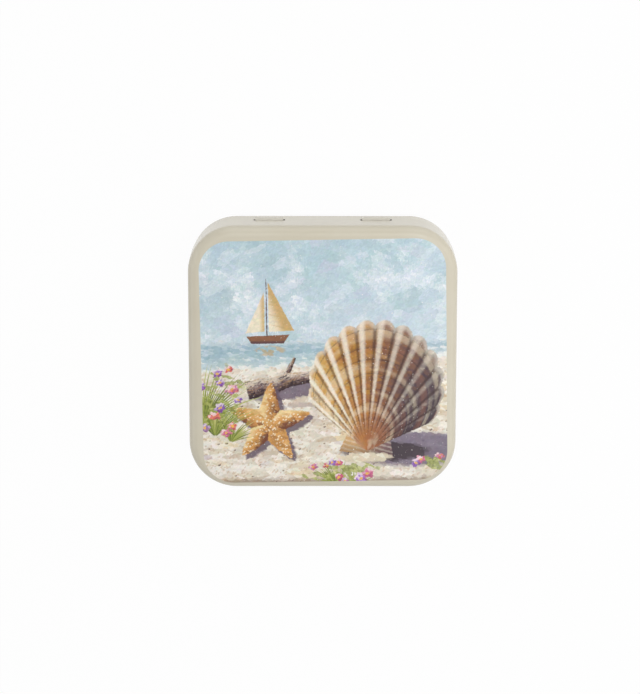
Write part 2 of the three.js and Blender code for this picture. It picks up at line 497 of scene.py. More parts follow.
class Value:
    """An output of a shader node that takes part in Python expressions as a number does."""

    def __init__(self, board: "Board", socket: bpy.types.NodeSocket) -> None:
        """Holds the board that the node is on, and the output."""
        self.board = board
        self.socket = socket

    def output(self, name: str) -> "Value":
        """Another output of the same node."""
        return Value(self.board, self.socket.node.outputs[name])

    def maths(self, operation: str, *operands: "Value | float") -> "Value":
        """A Math node of that operation on the operands."""
        return self.board.add("ShaderNodeMath", {"operation": operation}, dict(enumerate(operands)))

    def __add__(self, other: "Value | float") -> "Value":
        """The sum."""
        return self.maths("ADD", self, other)

    def __sub__(self, other: "Value | float") -> "Value":
        """The difference."""
        return self.maths("SUBTRACT", self, other)

    def __rsub__(self, other: float) -> "Value":
        """The difference from a number."""
        return self.maths("SUBTRACT", other, self)

    def __mul__(self, other: "Value | float") -> "Value":
        """The product."""
        return self.maths("MULTIPLY", self, other)

    def __truediv__(self, other: "Value | float") -> "Value":
        """The quotient."""
        return self.maths("DIVIDE", self, other)

    def __rtruediv__(self, other: float) -> "Value":
        """A number over this."""
        return self.maths("DIVIDE", other, self)

    def __pow__(self, power: float) -> "Value":
        """The power."""
        return self.maths("POWER", self, power)

    def __lt__(self, other: "Value | float") -> "Value":
        """1 where this is less, and 0 elsewhere."""
        return self.maths("LESS_THAN", self, other)

    def __gt__(self, other: "Value | float") -> "Value":
        """1 where this is greater, and 0 elsewhere."""
        return self.maths("GREATER_THAN", self, other)

    def __abs__(self) -> "Value":
        """The size without its sign."""
        return self.maths("ABSOLUTE", self)

    __radd__ = __add__
    __rmul__ = __mul__

    @property
    def fraction(self) -> "Value":
        """What is left above the next whole number below."""
        return self.maths("FRACT", self)

    @property
    def floor(self) -> "Value":
        """The next whole number below."""
        return self.maths("FLOOR", self)

    @property
    def sine(self) -> "Value":
        """The sine of an angle."""
        return self.maths("SINE", self)

    @property
    def cosine(self) -> "Value":
        """The cosine of an angle."""
        return self.maths("COSINE", self)

    def at_least(self, other: "Value | float") -> "Value":
        """The greater of the two."""
        return self.maths("MAXIMUM", self, other)

    def at_most(self, other: "Value | float") -> "Value":
        """The smaller of the two."""
        return self.maths("MINIMUM", self, other)

    def step(self, low: float, high: float) -> "Value":
        """Rises smoothly from 0 at low to 1 at high, or falls: 3 t squared less 2 t cubed."""
        inputs = {"Value": self, "From Min": low, "From Max": high}
        return self.board.add("ShaderNodeMapRange", {"interpolation_type": "SMOOTHSTEP"}, inputs)

    def band(self, start: float, full: float, last: float, end: float) -> "Value":
        """Rises from 0 to 1 between the first two levels, and falls to 0 between the last two."""
        return self.step(start, full) * self.step(end, last)

    def between(self, low: float, high: float) -> "Value":
        """Goes evenly from low to high as this goes from 0 to 1."""
        return self * (high - low) + low

    def around(self, spread: float) -> "Value":
        """Turns a chance, from 0 to 1, into a number that strays half the spread to each side of 0."""
        return (self - 0.5) * spread


class Board:
    """A node tree that finishes are worked out on."""

    MIX_INPUTS = (0, 6, 7)  # the share and the two colours of a Mix node, by place
    MIX_OUTPUT = 2  # its colour, by place

    def __init__(self, tree: bpy.types.NodeTree) -> None:
        """Clears the tree."""
        self.tree = tree
        tree.nodes.clear()

    def add(
        self,
        kind: str,
        settings: dict[str, object] | None = None,
        inputs: dict[str | int, object] | None = None,
        output: str | int = 0,
    ) -> Value:
        """Adds a node.

        Args:
            kind: The node's type.
            settings: Its own properties, which are set first.
            inputs: The value or link of each socket, by name or place.
            output: The output that is wanted.

        Returns:
            That output.
        """
        node = self.tree.nodes.new(kind)
        settings = dict(settings or {})
        for stop, (place, colour) in enumerate(settings.pop("stops", ())):
            elements = node.color_ramp.elements
            element = elements[stop] if stop < 1 else elements.new(place)
            element.position, element.color = place, (*colour, 1.0)
            if stop == 0:
                elements.remove(elements[1])
        for name, setting in settings.items():
            setattr(node, name, setting)
        for name, given in (inputs or {}).items():
            socket = node.inputs[name]
            if isinstance(given, Value):
                self.tree.links.new(given.socket, socket)
            elif socket.type == "RGBA":
                socket.default_value = (*given, 1.0)
            else:
                socket.default_value = given
        return Value(self, node.outputs[output])

    def show(self, shader: Value, kind: str = "ShaderNodeOutputMaterial") -> None:
        """Links a shader to an output node, the tree's result."""
        self.tree.links.new(shader.socket, self.tree.nodes.new(kind).inputs["Surface"])

    def own_place(self) -> Value:
        """The place on the piece in its own coordinates, in metres."""
        return self.add("ShaderNodeTexCoord", output="Object")

    def parts(self, vector: Value) -> tuple[Value, Value, Value]:
        """The x, y and z of a vector."""
        x = self.add("ShaderNodeSeparateXYZ", {}, {0: vector})
        return x, x.output("Y"), x.output("Z")

    def channels(self, colour: Value) -> tuple[Value, Value, Value]:
        """The red, green and blue of a colour."""
        red = self.add("ShaderNodeSeparateColor", {}, {0: colour})
        return red, red.output("Green"), red.output("Blue")

    def mix(self, share: Value | float, first: Value | Colour, second: Value | Colour) -> Value:
        """Goes from the first colour to the second as the share goes from 0 to 1."""
        inputs = dict(zip(self.MIX_INPUTS, (share, first, second)))
        return self.add("ShaderNodeMix", {"data_type": "RGBA"}, inputs, self.MIX_OUTPUT)

    def ramp(self, value: Value, stops: Stops) -> Value:
        """A colour that passes through each stop in turn as the value goes from 0 to 1."""
        return self.add("ShaderNodeValToRGB", {"stops": stops}, {0: value})

    def vector(self, x: Value | float, y: Value | float, z: Value | float = 0.0) -> Value:
        """Three numbers as one vector."""
        return self.add("ShaderNodeCombineXYZ", {}, {0: x, 1: y, 2: z})

    def blend(self, operation: str, first: object, second: object) -> Value:
        """A Vector Math node on two vectors."""
        return self.add("ShaderNodeVectorMath", {"operation": operation}, {0: first, 1: second})

    def scaled(self, vector: Value, factor: float) -> Value:
        """A vector times a number."""
        return self.add("ShaderNodeVectorMath", {"operation": "SCALE"}, {0: vector, "Scale": factor})

    def noise(self, place: Value, size: float, detail: float = 2.0, roughness: float = 0.5) -> Value:
        """Soft random patches of about that size, around 0.5."""
        inputs = {"Vector": place, "Scale": 1 / size, "Detail": detail, "Roughness": roughness}
        return self.add("ShaderNodeTexNoise", {"noise_dimensions": "3D"}, inputs)

    def cells(self, place: Value, size: float) -> "Cells":
        """Divides the plane into Voronoi cells of about that size.

        Args:
            place: The place as a vector.
            size: The size of a cell.

        Returns:
            The cells, with their distances counted in cells.
        """
        inputs = {"Vector": place, "Scale": 1 / size}
        distance = self.add("ShaderNodeTexVoronoi", {"voronoi_dimensions": "2D"}, inputs)
        x, y, _ = self.parts(distance.output("Position"))
        return Cells(distance, Spot(x, y), self.channels(distance.output("Color")))

    def arctangent(self, opposite: Value, adjacent: Value) -> Value:
        """The angle whose tangent is opposite over adjacent, in the right quarter."""
        return opposite.maths("ARCTAN2", opposite, adjacent)

    def length(self, x: Value, y: Value) -> Value:
        """The root of the sum of the squares."""
        squares = x * x + y * y
        return squares.maths("SQRT", squares)


def new_material(name: str) -> tuple[bpy.types.Material, Board]:
    """Makes an empty material.

    Args:
        name: Its name.

    Returns:
        The material, and the board that its finish is worked out on.
    """
    material = bpy.data.materials.new(name)
    material.use_nodes = True
    return material, Board(material.node_tree)


@dataclass(frozen=True)
class Spot:
    """A place on the picture, right and up from some point, in millimetres."""

    x: Value
    y: Value

    def seen_from(self, x: float, y: float) -> "Spot":
        """The same place, measured from another point."""
        return Spot(self.x - x, self.y - y)

    def turned(self, angle: float) -> "Spot":
        """The same place in axes turned anticlockwise: x cos + y sin, and y cos - x sin."""
        cosine, sine = math.cos(angle), math.sin(angle)
        return Spot(self.x * cosine + self.y * sine, self.y * cosine - self.x * sine)

    def toward(self, other: "Spot", share: float) -> "Spot":
        """A place that share of the way to another."""
        return Spot(self.x + (other.x - self.x) * share, self.y + (other.y - self.y) * share)

    def counted_in(self, across: Value | float, up: Value | float) -> "Spot":
        """The place counted in a width and a height."""
        return Spot(self.x / across, self.y / up)

    @property
    def vector(self) -> Value:
        """The place as a vector."""
        return self.x.board.vector(self.x, self.y)

    @property
    def distance(self) -> Value:
        """How far the place is from the point it is measured from."""
        return self.x.board.length(self.x, self.y)


@dataclass(frozen=True)
class Cells:
    """Cells of a pattern: the distance from the nearest middle, that middle, and its cell's chances."""

    distance: Value
    middle: Spot
    chance: tuple[Value, Value, Value]


@dataclass(frozen=True)
class Brush:
    """The touch of a brush: its length and width in millimetres, its slant, and how far its edges stray."""

    length: float
    width: float
    slant: float
    waver: float  # as a share of a touch
    waver_size: float = 0.45  # of the patches that move an edge, counted in touches

    def touches(self, spot: Spot) -> Cells:
        """Covers the canvas with touches: the cells of a stretched, slanting pattern whose edges waver.

        Args:
            spot: The place.

        Returns:
            The touches, with their middles in millimetres.
        """
        board = spot.x.board
        place = spot.turned(self.slant).counted_in(self.length, self.width).vector
        patches = board.noise(place, self.waver_size).output("Color")
        sway = board.scaled(board.blend("SUBTRACT", patches, (0.5, 0.5, 0.5)), 2 * self.waver)
        cells = board.cells(board.blend("ADD", place, sway), 1.0)
        middle = Spot(cells.middle.x * self.length, cells.middle.y * self.width)
        return Cells(cells.distance, middle.turned(-self.slant), cells.chance)


@dataclass(frozen=True)
class Patches:
    """Soft random patches: their size across and up, where they start, and how fine and rough they are."""

    across: float
    up: float
    start: Pair = (0.0, 0.0)
    detail: float = 2.0
    roughness: float = 0.5

    def level(self, spot: Spot) -> Value:
        """A noise, around 0.5, of the place less the start, counted in the patches' sizes."""
        place = spot.seen_from(*self.start).counted_in(self.across, self.up).vector
        return place.board.noise(place, 1.0, self.detail, self.roughness)


@dataclass(frozen=True)
class Sway:
    """How a line strays: the length of its waves, the furthest that it strays, and its row of the noise."""

    wave: float
    stray: float
    row: float
    detail: float = 2.0
    roughness: float = 0.5

    def at(self, x: Value) -> Value:
        """The stray at a place along the line: a noise less its middle, times twice the furthest stray."""
        place = x.board.vector(x / self.wave, self.row)
        return x.board.noise(place, 1.0, self.detail, self.roughness).around(2 * self.stray)


@dataclass(frozen=True)
class Tone:
    """A colour that comes in as some measure goes from one level to another, and how thick it gets."""

    colour: Colour
    start: float
    full: float
    strength: float = 1.0

    def over(self, below: Value | Colour, measure: Value, where: Value | float = 1.0) -> Value:
        """The colour below, with this one over it where the measure and a further cover say."""
        share = measure.step(self.start, self.full) * self.strength * where
        return measure.board.mix(share, below, self.colour)


@dataclass(frozen=True)
class Flecks:
    """A colour on single touches of the brush: on those whose chance is above a rarity."""

    colour: Colour
    rarity: float
    strength: float


@dataclass(frozen=True)
class Oval:
    """A soft oval, by its middle and half of its two sizes."""

    x: float
    y: float
    half_width: float
    half_height: float
    strength: float = 1.0
    core: float = 0.72  # the share of the oval that is fully covered

    def cover(self, spot: Spot) -> Value:
        """The full strength in the oval's core, falling to 0 at its edge."""
        place = spot.seen_from(self.x, self.y).counted_in(self.half_width, self.half_height)
        return place.distance.step(1.0, self.core) * self.strength


@dataclass(frozen=True)
class Outline:
    """A shape with straight edges that bulges everywhere, by its corners, anticlockwise."""

    corners: tuple[Pair, ...]
    edge: Pair = (-0.05, 0.1)  # where the cover starts and is full, inside the edge

    def cover(self, spot: Spot) -> Value:
        """1 inside, with soft edges: the least distance inside any edge's line.

        Args:
            spot: The place.

        Returns:
            The cover.
        """
        inside = None
        for (x, y), (next_x, next_y) in zip(self.corners, [*self.corners[1:], self.corners[0]]):
            length = math.hypot(next_x - x, next_y - y)
            across, upright = -(next_y - y) / length, (next_x - x) / length
            distance = spot.x * across + spot.y * upright - (x * across + y * upright)
            inside = distance if inside is None else inside.at_most(distance)
        return inside.step(*self.edge)


class Canvas:
    """The picture while it is painted: the place in millimetres, touches of four brushes, and the colour."""

    BROAD = Brush(3.4, 1.9, math.radians(28), 0.5)
    LEVEL = Brush(4.2, 1.2, math.radians(3), 0.35)
    SMALL = Brush(1.3, 0.75, math.radians(-18), 0.4)
    FINE = Brush(0.5, 0.34, math.radians(35), 0.35)
    MOTTLE_DARK = 0.45  # the share of a mottle's depth that darkens, so that the mean nearly stays

    def __init__(self, board: Board, spot: Spot) -> None:
        """Starts a bare canvas.

        Args:
            board: The board of the finish.
            spot: The place on the picture.
        """
        self.board = board
        self.spot = spot
        self.colour: Value | Colour = (1.0, 1.0, 1.0)
        self.broad = self.BROAD.touches(spot)
        self.level = self.LEVEL.touches(spot)
        self.small = self.SMALL.touches(spot)
        self.fine = self.FINE.touches(spot)

    def drawn(self, touches: Cells, share: float) -> Spot:
        """The place, drawn that share of the way to the middle of the touch that covers it."""
        return self.spot.toward(touches.middle, share)

    def lay(self, colour: Value | Colour, cover: Value | float) -> None:
        """Lays a colour over what is there, as thickly as its cover says."""
        self.colour = self.board.mix(cover, self.colour, colour)

    def tone(self, tone: Tone, measure: Value, where: Value | float = 1.0) -> None:
        """Lays a tone over what is there."""
        self.colour = tone.over(self.colour, measure, where)

    def fleck(self, flecks: Flecks, chance: Value, where: Value | float = 1.0) -> None:
        """Lays flecks over what is there."""
        self.lay(flecks.colour, (chance > flecks.rarity) * flecks.strength * where)

    def mottle(self, touches: Cells, depth: float, pace: float) -> None:
        """Tones each touch of the brush a little up or down, in red, green and blue apart.

        Args:
            touches: The touches.
            depth: The difference between the lightest and the darkest tone, as a share.
            pace: How much of that difference the three colours share.
        """
        shared, own = depth * pace, depth * (1 - pace)
        darkest = 1 - depth * self.MOTTLE_DARK
        tones = [touches.chance[0] * shared + chance * own + darkest for chance in touches.chance]
        self.colour = self.board.blend("MULTIPLY", self.colour, self.board.vector(*tones))


class Motif(Protocol):
    """A part of the picture."""

    def paint(self, canvas: Canvas) -> None:
        """Paints the part over what is on the canvas."""


@dataclass(frozen=True)
class SkyWash:
    """Pale blue washed over the upper half, with whiter and greener touches."""

    horizon: float = 5.0
    top: float = 28.0
    high: Colour = paint_chip(190, 213, 222)
    low: Colour = paint_chip(206, 222, 230)
    green: Tone = Tone(paint_chip(181, 206, 211), 0.5, 0.66, 0.7)
    green_patches: Patches = Patches(9.0, 9.0)
    lilac: Tone = Tone(paint_chip(200, 211, 225), 0.52, 0.64, 0.75)
    lilac_patches: Patches = Patches(7.0, 7.0, (31.0, 7.0))
    bank_patches: Patches = Patches(19.0, 19.0, (8.0, 2.0), detail=1.0)
    bank_edge: Pair = (0.42, 0.58)  # of the wide banks that hold most of the clouds
    cloud: Tone = Tone(paint_chip(222, 233, 240), 0.46, 0.6)
    cloud_patches: Patches = Patches(8.0, 8.0, (3.0, 40.0), detail=3.0, roughness=0.6)
    cloud_outside_and_in_banks: Pair = (0.25, 0.95)
    pale_flecks: Flecks = Flecks(cloud.colour, 0.82, 0.45)
    blue_flecks: Flecks = Flecks(high, 0.85, 0.35)
    bright_flecks: Flecks = Flecks(paint_chip(241, 246, 249), 0.8, 0.6)
    fleck_edge: Pair = (0.5, 0.6)
    dry_brush: Patches = Patches(0.35, 1.1, detail=3.0, roughness=0.7)
    dry_bright: Tone = Tone(bright_flecks.colour, 0.54, 0.66, 0.9)
    dry_edge: Pair = (0.42, 0.55)
    dry_green: Tone = Tone(green.colour, 0.42, 0.3)
    green_outside_and_in_banks: Pair = (0.1, 0.55)
    broad_share: float = 0.85  # see Canvas.drawn
    small_share: float = 0.8

    def paint(self, canvas: Canvas) -> None:
        """Paints the wash, the clouds and the single touches.

        Args:
            canvas: The picture.
        """
        place = canvas.drawn(canvas.broad, self.broad_share)
        nearer = canvas.drawn(canvas.small, self.small_share)
        canvas.colour = canvas.board.mix(place.y.step(self.horizon, self.top), self.low, self.high)
        canvas.tone(self.green, self.green_patches.level(place))
        canvas.tone(self.lilac, self.lilac_patches.level(place))
        bank = self.bank_patches.level(place).step(*self.bank_edge)
        cloud = self.cloud_patches.level(nearer)
        canvas.tone(self.cloud, cloud, bank.between(*self.cloud_outside_and_in_banks))
        canvas.fleck(self.pale_flecks, canvas.broad.chance[0])
        canvas.fleck(self.blue_flecks, canvas.small.chance[1])
        canvas.fleck(self.bright_flecks, canvas.small.chance[0], cloud.step(*self.fleck_edge) * bank)
        dry = self.dry_brush.level(canvas.spot)
        canvas.tone(self.dry_bright, dry, cloud.step(*self.dry_edge) * bank)
        canvas.tone(self.dry_green, dry, bank.between(*self.green_outside_and_in_banks))


@dataclass(frozen=True)
class SeaAndSand:
    """A band of pale sea under the horizon, and warm sand from the shore to the front."""

    horizon: float = 5.0
    shore: float = -0.6
    shore_slope: float = 0.05
    shore_sway: Sway = Sway(8.0, 1.6, 2.0)
    front: float = -28.0
    sand: Tone = Tone(paint_chip(229, 219, 202), -0.1, 0.1)
    sand_edge: Pair = (0.0, 1.0)  # depth under the horizon where the sand's own tones come in
    warm: Tone = Tone(paint_chip(234, 212, 172), 0.5, 0.66, 0.8)
    warm_patches: Patches = Patches(11.0, 4.5)
    lilac: Tone = Tone(paint_chip(202, 193, 201), 0.54, 0.66, 0.75)
    lilac_patches: Patches = Patches(9.0, 3.0, (-45.0, -27.0))
    light: Tone = Tone(paint_chip(246, 241, 230), 0.47, 0.6, 0.9)
    light_patches: Patches = Patches(7.0, 2.2, (-119.0, -6.6), detail=3.0, roughness=0.6)
    long_flecks: Flecks = Flecks(paint_chip(188, 160, 128), 0.86, 0.4)
    light_flecks: Flecks = Flecks(light.colour, 0.84, 0.6)
    fine_flecks: Flecks = Flecks(long_flecks.colour, 0.9, 0.5)
    near_shade: Tone = Tone(paint_chip(150, 130, 110), 0.8, -0.6, 0.8)
    near_sway: Sway = Sway(4.5, 1.5, 6.0, detail=3.0, roughness=0.6)
    shallow: Colour = paint_chip(196, 214, 214)
    deep: Tone = Tone(paint_chip(164, 192, 203), 0.0, 4.2)
    ripple: Tone = Tone(paint_chip(210, 223, 229), 0.5, 0.62, 0.7)
    ripple_patches: Patches = Patches(3.2, 0.5, roughness=0.6)
    haze: Tone = Tone(ripple.colour, 1.3, 0.0)
    water_edge: Pair = (-0.1, 0.15)
    horizon_edge: Pair = (-0.08, 0.12)
    surf_patches: Patches = Patches(2.1, 0.8, roughness=0.6)
    first_foam: Tone = Tone(paint_chip(240, 242, 238), 0.36, 0.52, 0.95)
    first_wave: Levels = (-0.5, 0.1, 0.5, 1.3)
    second_foam: Tone = Tone(first_foam.colour, 0.5, 0.58, 0.8)
    second_wave: Levels = (1.7, 2.0, 2.2, 2.7)
    stroke_share: float = 0.85  # see Canvas.drawn
    touch_share: float = 0.7

    def paint(self, canvas: Canvas) -> None:
        """Paints the sand, then the sea down to a wavering shore, then the shade along the front.

        Args:
            canvas: The picture.
        """
        stroke = canvas.drawn(canvas.level, self.stroke_share)
        near = canvas.drawn(canvas.small, self.touch_share)
        depth = self.horizon - near.y
        canvas.tone(self.sand, depth)
        below = depth.step(*self.sand_edge)
        canvas.tone(self.warm, self.warm_patches.level(stroke), below)
        canvas.tone(self.lilac, self.lilac_patches.level(stroke), below)
        canvas.tone(self.light, self.light_patches.level(near), below)
        canvas.fleck(self.long_flecks, canvas.level.chance[0], below)
        canvas.fleck(self.light_flecks, canvas.small.chance[0], below)
        canvas.fleck(self.fine_flecks, canvas.fine.chance[0], below)
        self.paint_sea(canvas, near, depth)
        canvas.tone(self.near_shade, near.y - self.front + self.near_sway.at(near.x))

    def paint_sea(self, canvas: Canvas, near: Spot, depth: Value) -> None:
        """Paints the water by its distance beyond the shore line, then two lines of foam.

        Args:
            canvas: The picture.
            near: The place.
            depth: How far it is below the horizon.
        """
        out = near.y - (self.shore_sway.at(near.x) + near.x * self.shore_slope + self.shore)
        colour = self.deep.over(self.shallow, out)
        colour = self.ripple.over(colour, self.ripple_patches.level(near))
        colour = self.haze.over(colour, depth)
        canvas.lay(colour, out.step(*self.water_edge) * depth.step(*self.horizon_edge))
        surf = self.surf_patches.level(near)
        canvas.tone(self.first_foam, surf, out.band(*self.first_wave))
        canvas.tone(self.second_foam, surf, out.band(*self.second_wave))


@dataclass(frozen=True)
class SailingBoat:
    """A small boat with cream sails, far out on the water."""

    x: float = -13.0
    y: float = 4.4
    sail: Colour = paint_chip(243, 232, 206)
    shaded_sail: Colour = paint_chip(206, 168, 102)
    wood: Colour = paint_chip(146, 100, 74)
    shadow: Colour = paint_chip(94, 70, 74)
    glimmer: Oval = Oval(0.6, -1.6, 4.0, 1.4)
    glimmer_flecks: Flecks = Flecks(paint_chip(206, 168, 102), 0.45, 0.6)
    hull: Outline = Outline(((-3.6, 0.1), (3.8, 0.1), (5.2, 2.2), (-4.8, 1.9)))
    hull_shade: Tone = Tone(shadow, 1.0, 0.4, 0.85)
    mast: Outline = Outline(((-0.2, 1.8), (0.15, 1.8), (0.1, 15.4), (-0.1, 15.4)))
    main: Outline = Outline(((0.4, 2.9), (6.3, 3.1), (0.4, 14.6)))
    main_shade: Tone = Tone(shaded_sail, 2.6, 5.6, 0.9)
    main_shade_slope: float = 0.35
    seam: Tone = Tone(shaded_sail, 0.42, 0.5, 0.45)
    seams_up_and_across: Pair = (0.42, 0.1)  # how many to a millimetre
    jib: Outline = Outline(((-5.0, 2.6), (-0.5, 3.0), (-0.5, 12.4)))
    jib_shade: Tone = Tone(shaded_sail, -1.9, -0.7, 0.75)
    touch_share: float = 0.25  # see Canvas.drawn

    def paint(self, canvas: Canvas) -> None:
        """Paints the glimmer on the water, the hull, the mast and the two sails.

        Args:
            canvas: The picture.
        """
        place = canvas.drawn(canvas.fine, self.touch_share).seen_from(self.x, self.y)
        canvas.fleck(self.glimmer_flecks, canvas.small.chance[2], self.glimmer.cover(place))
        hull, main, jib = self.hull.cover(place), self.main.cover(place), self.jib.cover(place)
        canvas.lay(self.wood, hull)
        canvas.tone(self.hull_shade, place.y, hull)
        canvas.lay(self.shadow, self.mast.cover(place))
        canvas.lay(self.sail, main)
        canvas.tone(self.main_shade, place.x + place.y * self.main_shade_slope, main)
        up, across = self.seams_up_and_across
        canvas.tone(self.seam, abs((place.y * up + place.x * across).fraction - 0.5), main)
        canvas.lay(self.sail, jib)
        canvas.tone(self.jib_shade, place.x, jib)


@dataclass(frozen=True)
class ScallopShell:
    """A big scallop stood on its hinge in the sand, lit from the left.

    It is drawn in polar form about its foot. A growth line is a circle through the foot, so its share of the
    outline's size is the squared distance over twice the outline's radius times the height.
    """

    foot_x: float = 9.6
    foot_y: float = -21.5
    lean: float = math.radians(-9)
    half_fan: float = math.radians(57)
    disc: float = 15.4
    least_rise: float = 0.05  # keeps the growth lines' share in bounds beside the foot
    edge: Pair = (-0.12, 0.12)
    ribs: int = 13
    scallop: float = 0.045  # how far the outline dips between ribs, as a share of its size
    contact: Colour = paint_chip(48, 30, 36)
    groove: Colour = paint_chip(62, 38, 36)
    lit: Colour = paint_chip(251, 243, 226)
    cast: Colour = paint_chip(110, 96, 120)
    cast_shadow: Oval = Oval(10.0, 0.4, 17.5, 4.8, 0.9)
    contact_shadow: Oval = Oval(4.6, -0.2, 11.4, 2.6, 0.85)
    heap: Oval = Oval(-0.6, -1.5, 7.4, 1.25)
    heap_colours: tuple[Colour, Colour] = (paint_chip(226, 212, 186), paint_chip(240, 230, 210))
    heap_rarity: float = 0.55  # chance above which a touch of the heap has the second colour
    ears: Outline = Outline(((-6.4, -0.9), (6.4, -0.9), (5.0, 3.7), (-5.0, 3.7)))
    ear: Colour = paint_chip(214, 172, 120)
    ear_shade: Tone = Tone(paint_chip(122, 92, 94), -4.0, 5.0)
    ear_ridge: Tone = Tone(lit, -0.4, 1.0, 0.28)
    ear_ridges_up_and_across: Pair = (6.0, 0.8)  # radians to a millimetre
    ear_contact: Tone = Tone(contact, 2.2, -0.6, 0.35)
    grounds: Stops = (
        (0.0, paint_chip(230, 208, 168)),
        (0.18, paint_chip(216, 172, 98)),
        (0.36, paint_chip(190, 132, 54)),
        (0.55, paint_chip(134, 88, 58)),
        (0.76, paint_chip(84, 62, 70)),
        (1.0, paint_chip(54, 38, 52)),
    )
    ground_stray: float = 0.16
    root: Tone = Tone(paint_chip(178, 112, 66), 0.55, 0.12, 0.7)
    bands_out_and_around: Pair = (7.0, 0.6)
    dark_band: Tone = Tone(paint_chip(160, 104, 74), 0.5, 0.62, 0.35)
    light_band: Tone = Tone(paint_chip(240, 222, 190), 0.5, 0.36, 0.4)
    growth_lines: float = 9.0
    line_stray: float = 1.2
    growth_line: Tone = Tone(groove, 0.16, 0.0, 0.55)
    line_fade: Pair = (0.1, 0.4)
    crest: Tone = Tone(lit, 0.26, 0.04, 0.85)
    crest_place: float = 0.3  # across a rib, towards the light
    crest_fade: Pair = (0.12, 0.5)
    crest_lit: Pair = (1.1, 0.1)
    hollow: Tone = Tone(groove, 0.33, 0.49)
    hollow_fade: Pair = (0.02, 0.3)
    hollow_left_and_right: Pair = (0.5, 0.85)
    lip: Tone = Tone(lit, 0.9, 0.2, 0.45)
    rough_share: float = 0.6  # see Canvas.drawn
    fine_share: float = 0.35

    def paint(self, canvas: Canvas) -> None:
        """Paints the shadows, the ears at the hinge, the ribbed fan and the sand heaped at its foot.

        Args:
            canvas: The picture.
        """
        rough = canvas.drawn(canvas.small, self.rough_share).seen_from(self.foot_x, self.foot_y)
        canvas.lay(self.cast, self.cast_shadow.cover(rough))
        canvas.lay(self.contact, self.contact_shadow.cover(rough))
        fine = canvas.drawn(canvas.fine, self.fine_share)
        local = fine.seen_from(self.foot_x, self.foot_y).turned(self.lean)
        self.paint_ears(canvas, local)
        self.paint_fan(canvas, local)
        tint = canvas.board.mix(canvas.small.chance[1] > self.heap_rarity, *self.heap_colours)
        canvas.lay(tint, self.heap.cover(rough))

    def paint_ears(self, canvas: Canvas, local: Spot) -> None:
        """Paints the two ears beside the hinge, ridged across.

        Args:
            canvas: The picture.
            local: The place, seen from the foot and turned with the shell.
        """
        up, across = self.ear_ridges_up_and_across
        colour = self.ear_shade.over(self.ear, local.x)
        colour = self.ear_ridge.over(colour, (local.y * up + local.x * across).sine)
        canvas.lay(self.ear_contact.over(colour, local.y), self.ears.cover(local))

    def paint_fan(self, canvas: Canvas, local: Spot) -> None:
        """Paints the fan: its ground colour from left to right, its growth bands, then ribs and grooves.

        Args:
            canvas: The picture.
            local: The place, seen from the foot and turned with the shell.
        """
        board = canvas.board
        angle = board.arctangent(local.x, local.y)
        rise = local.y.at_least(self.least_rise)
        growth = (local.x * local.x + local.y * local.y) / (rise * (2 * self.disc))
        rib = (angle * (self.ribs / (2 * self.half_fan)) + self.ribs / 2).fraction
        arch = rib * (1 - rib) * 4
        edge = (1 - self.scallop * 0.5 + arch * self.scallop - growth) * self.disc
        side = (self.half_fan - abs(angle)) * local.distance
        across = (angle + self.half_fan) / (2 * self.half_fan)
        across = across + canvas.small.chance[0].around(self.ground_stray)
        colour = self.root.over(board.ramp(across, self.grounds), growth)
        out, around = self.bands_out_and_around
        age = board.noise(board.vector(growth * out, angle * around), 1.0)
        colour = self.dark_band.over(colour, age)
        colour = self.light_band.over(colour, age)
        line = (growth * self.growth_lines + age * self.line_stray).fraction
        colour = self.growth_line.over(colour, line, growth.step(*self.line_fade))
        lit = growth.step(*self.crest_fade) * across.step(*self.crest_lit)
        colour = self.crest.over(colour, abs(rib - self.crest_place), lit)
        dark = growth.step(*self.hollow_fade) * across.between(*self.hollow_left_and_right)
        colour = self.hollow.over(colour, abs(rib - 0.5), dark)
        fan = edge.at_most(side).step(*self.edge) * (local.y > 0)
        canvas.lay(self.lip.over(colour, edge), fan)


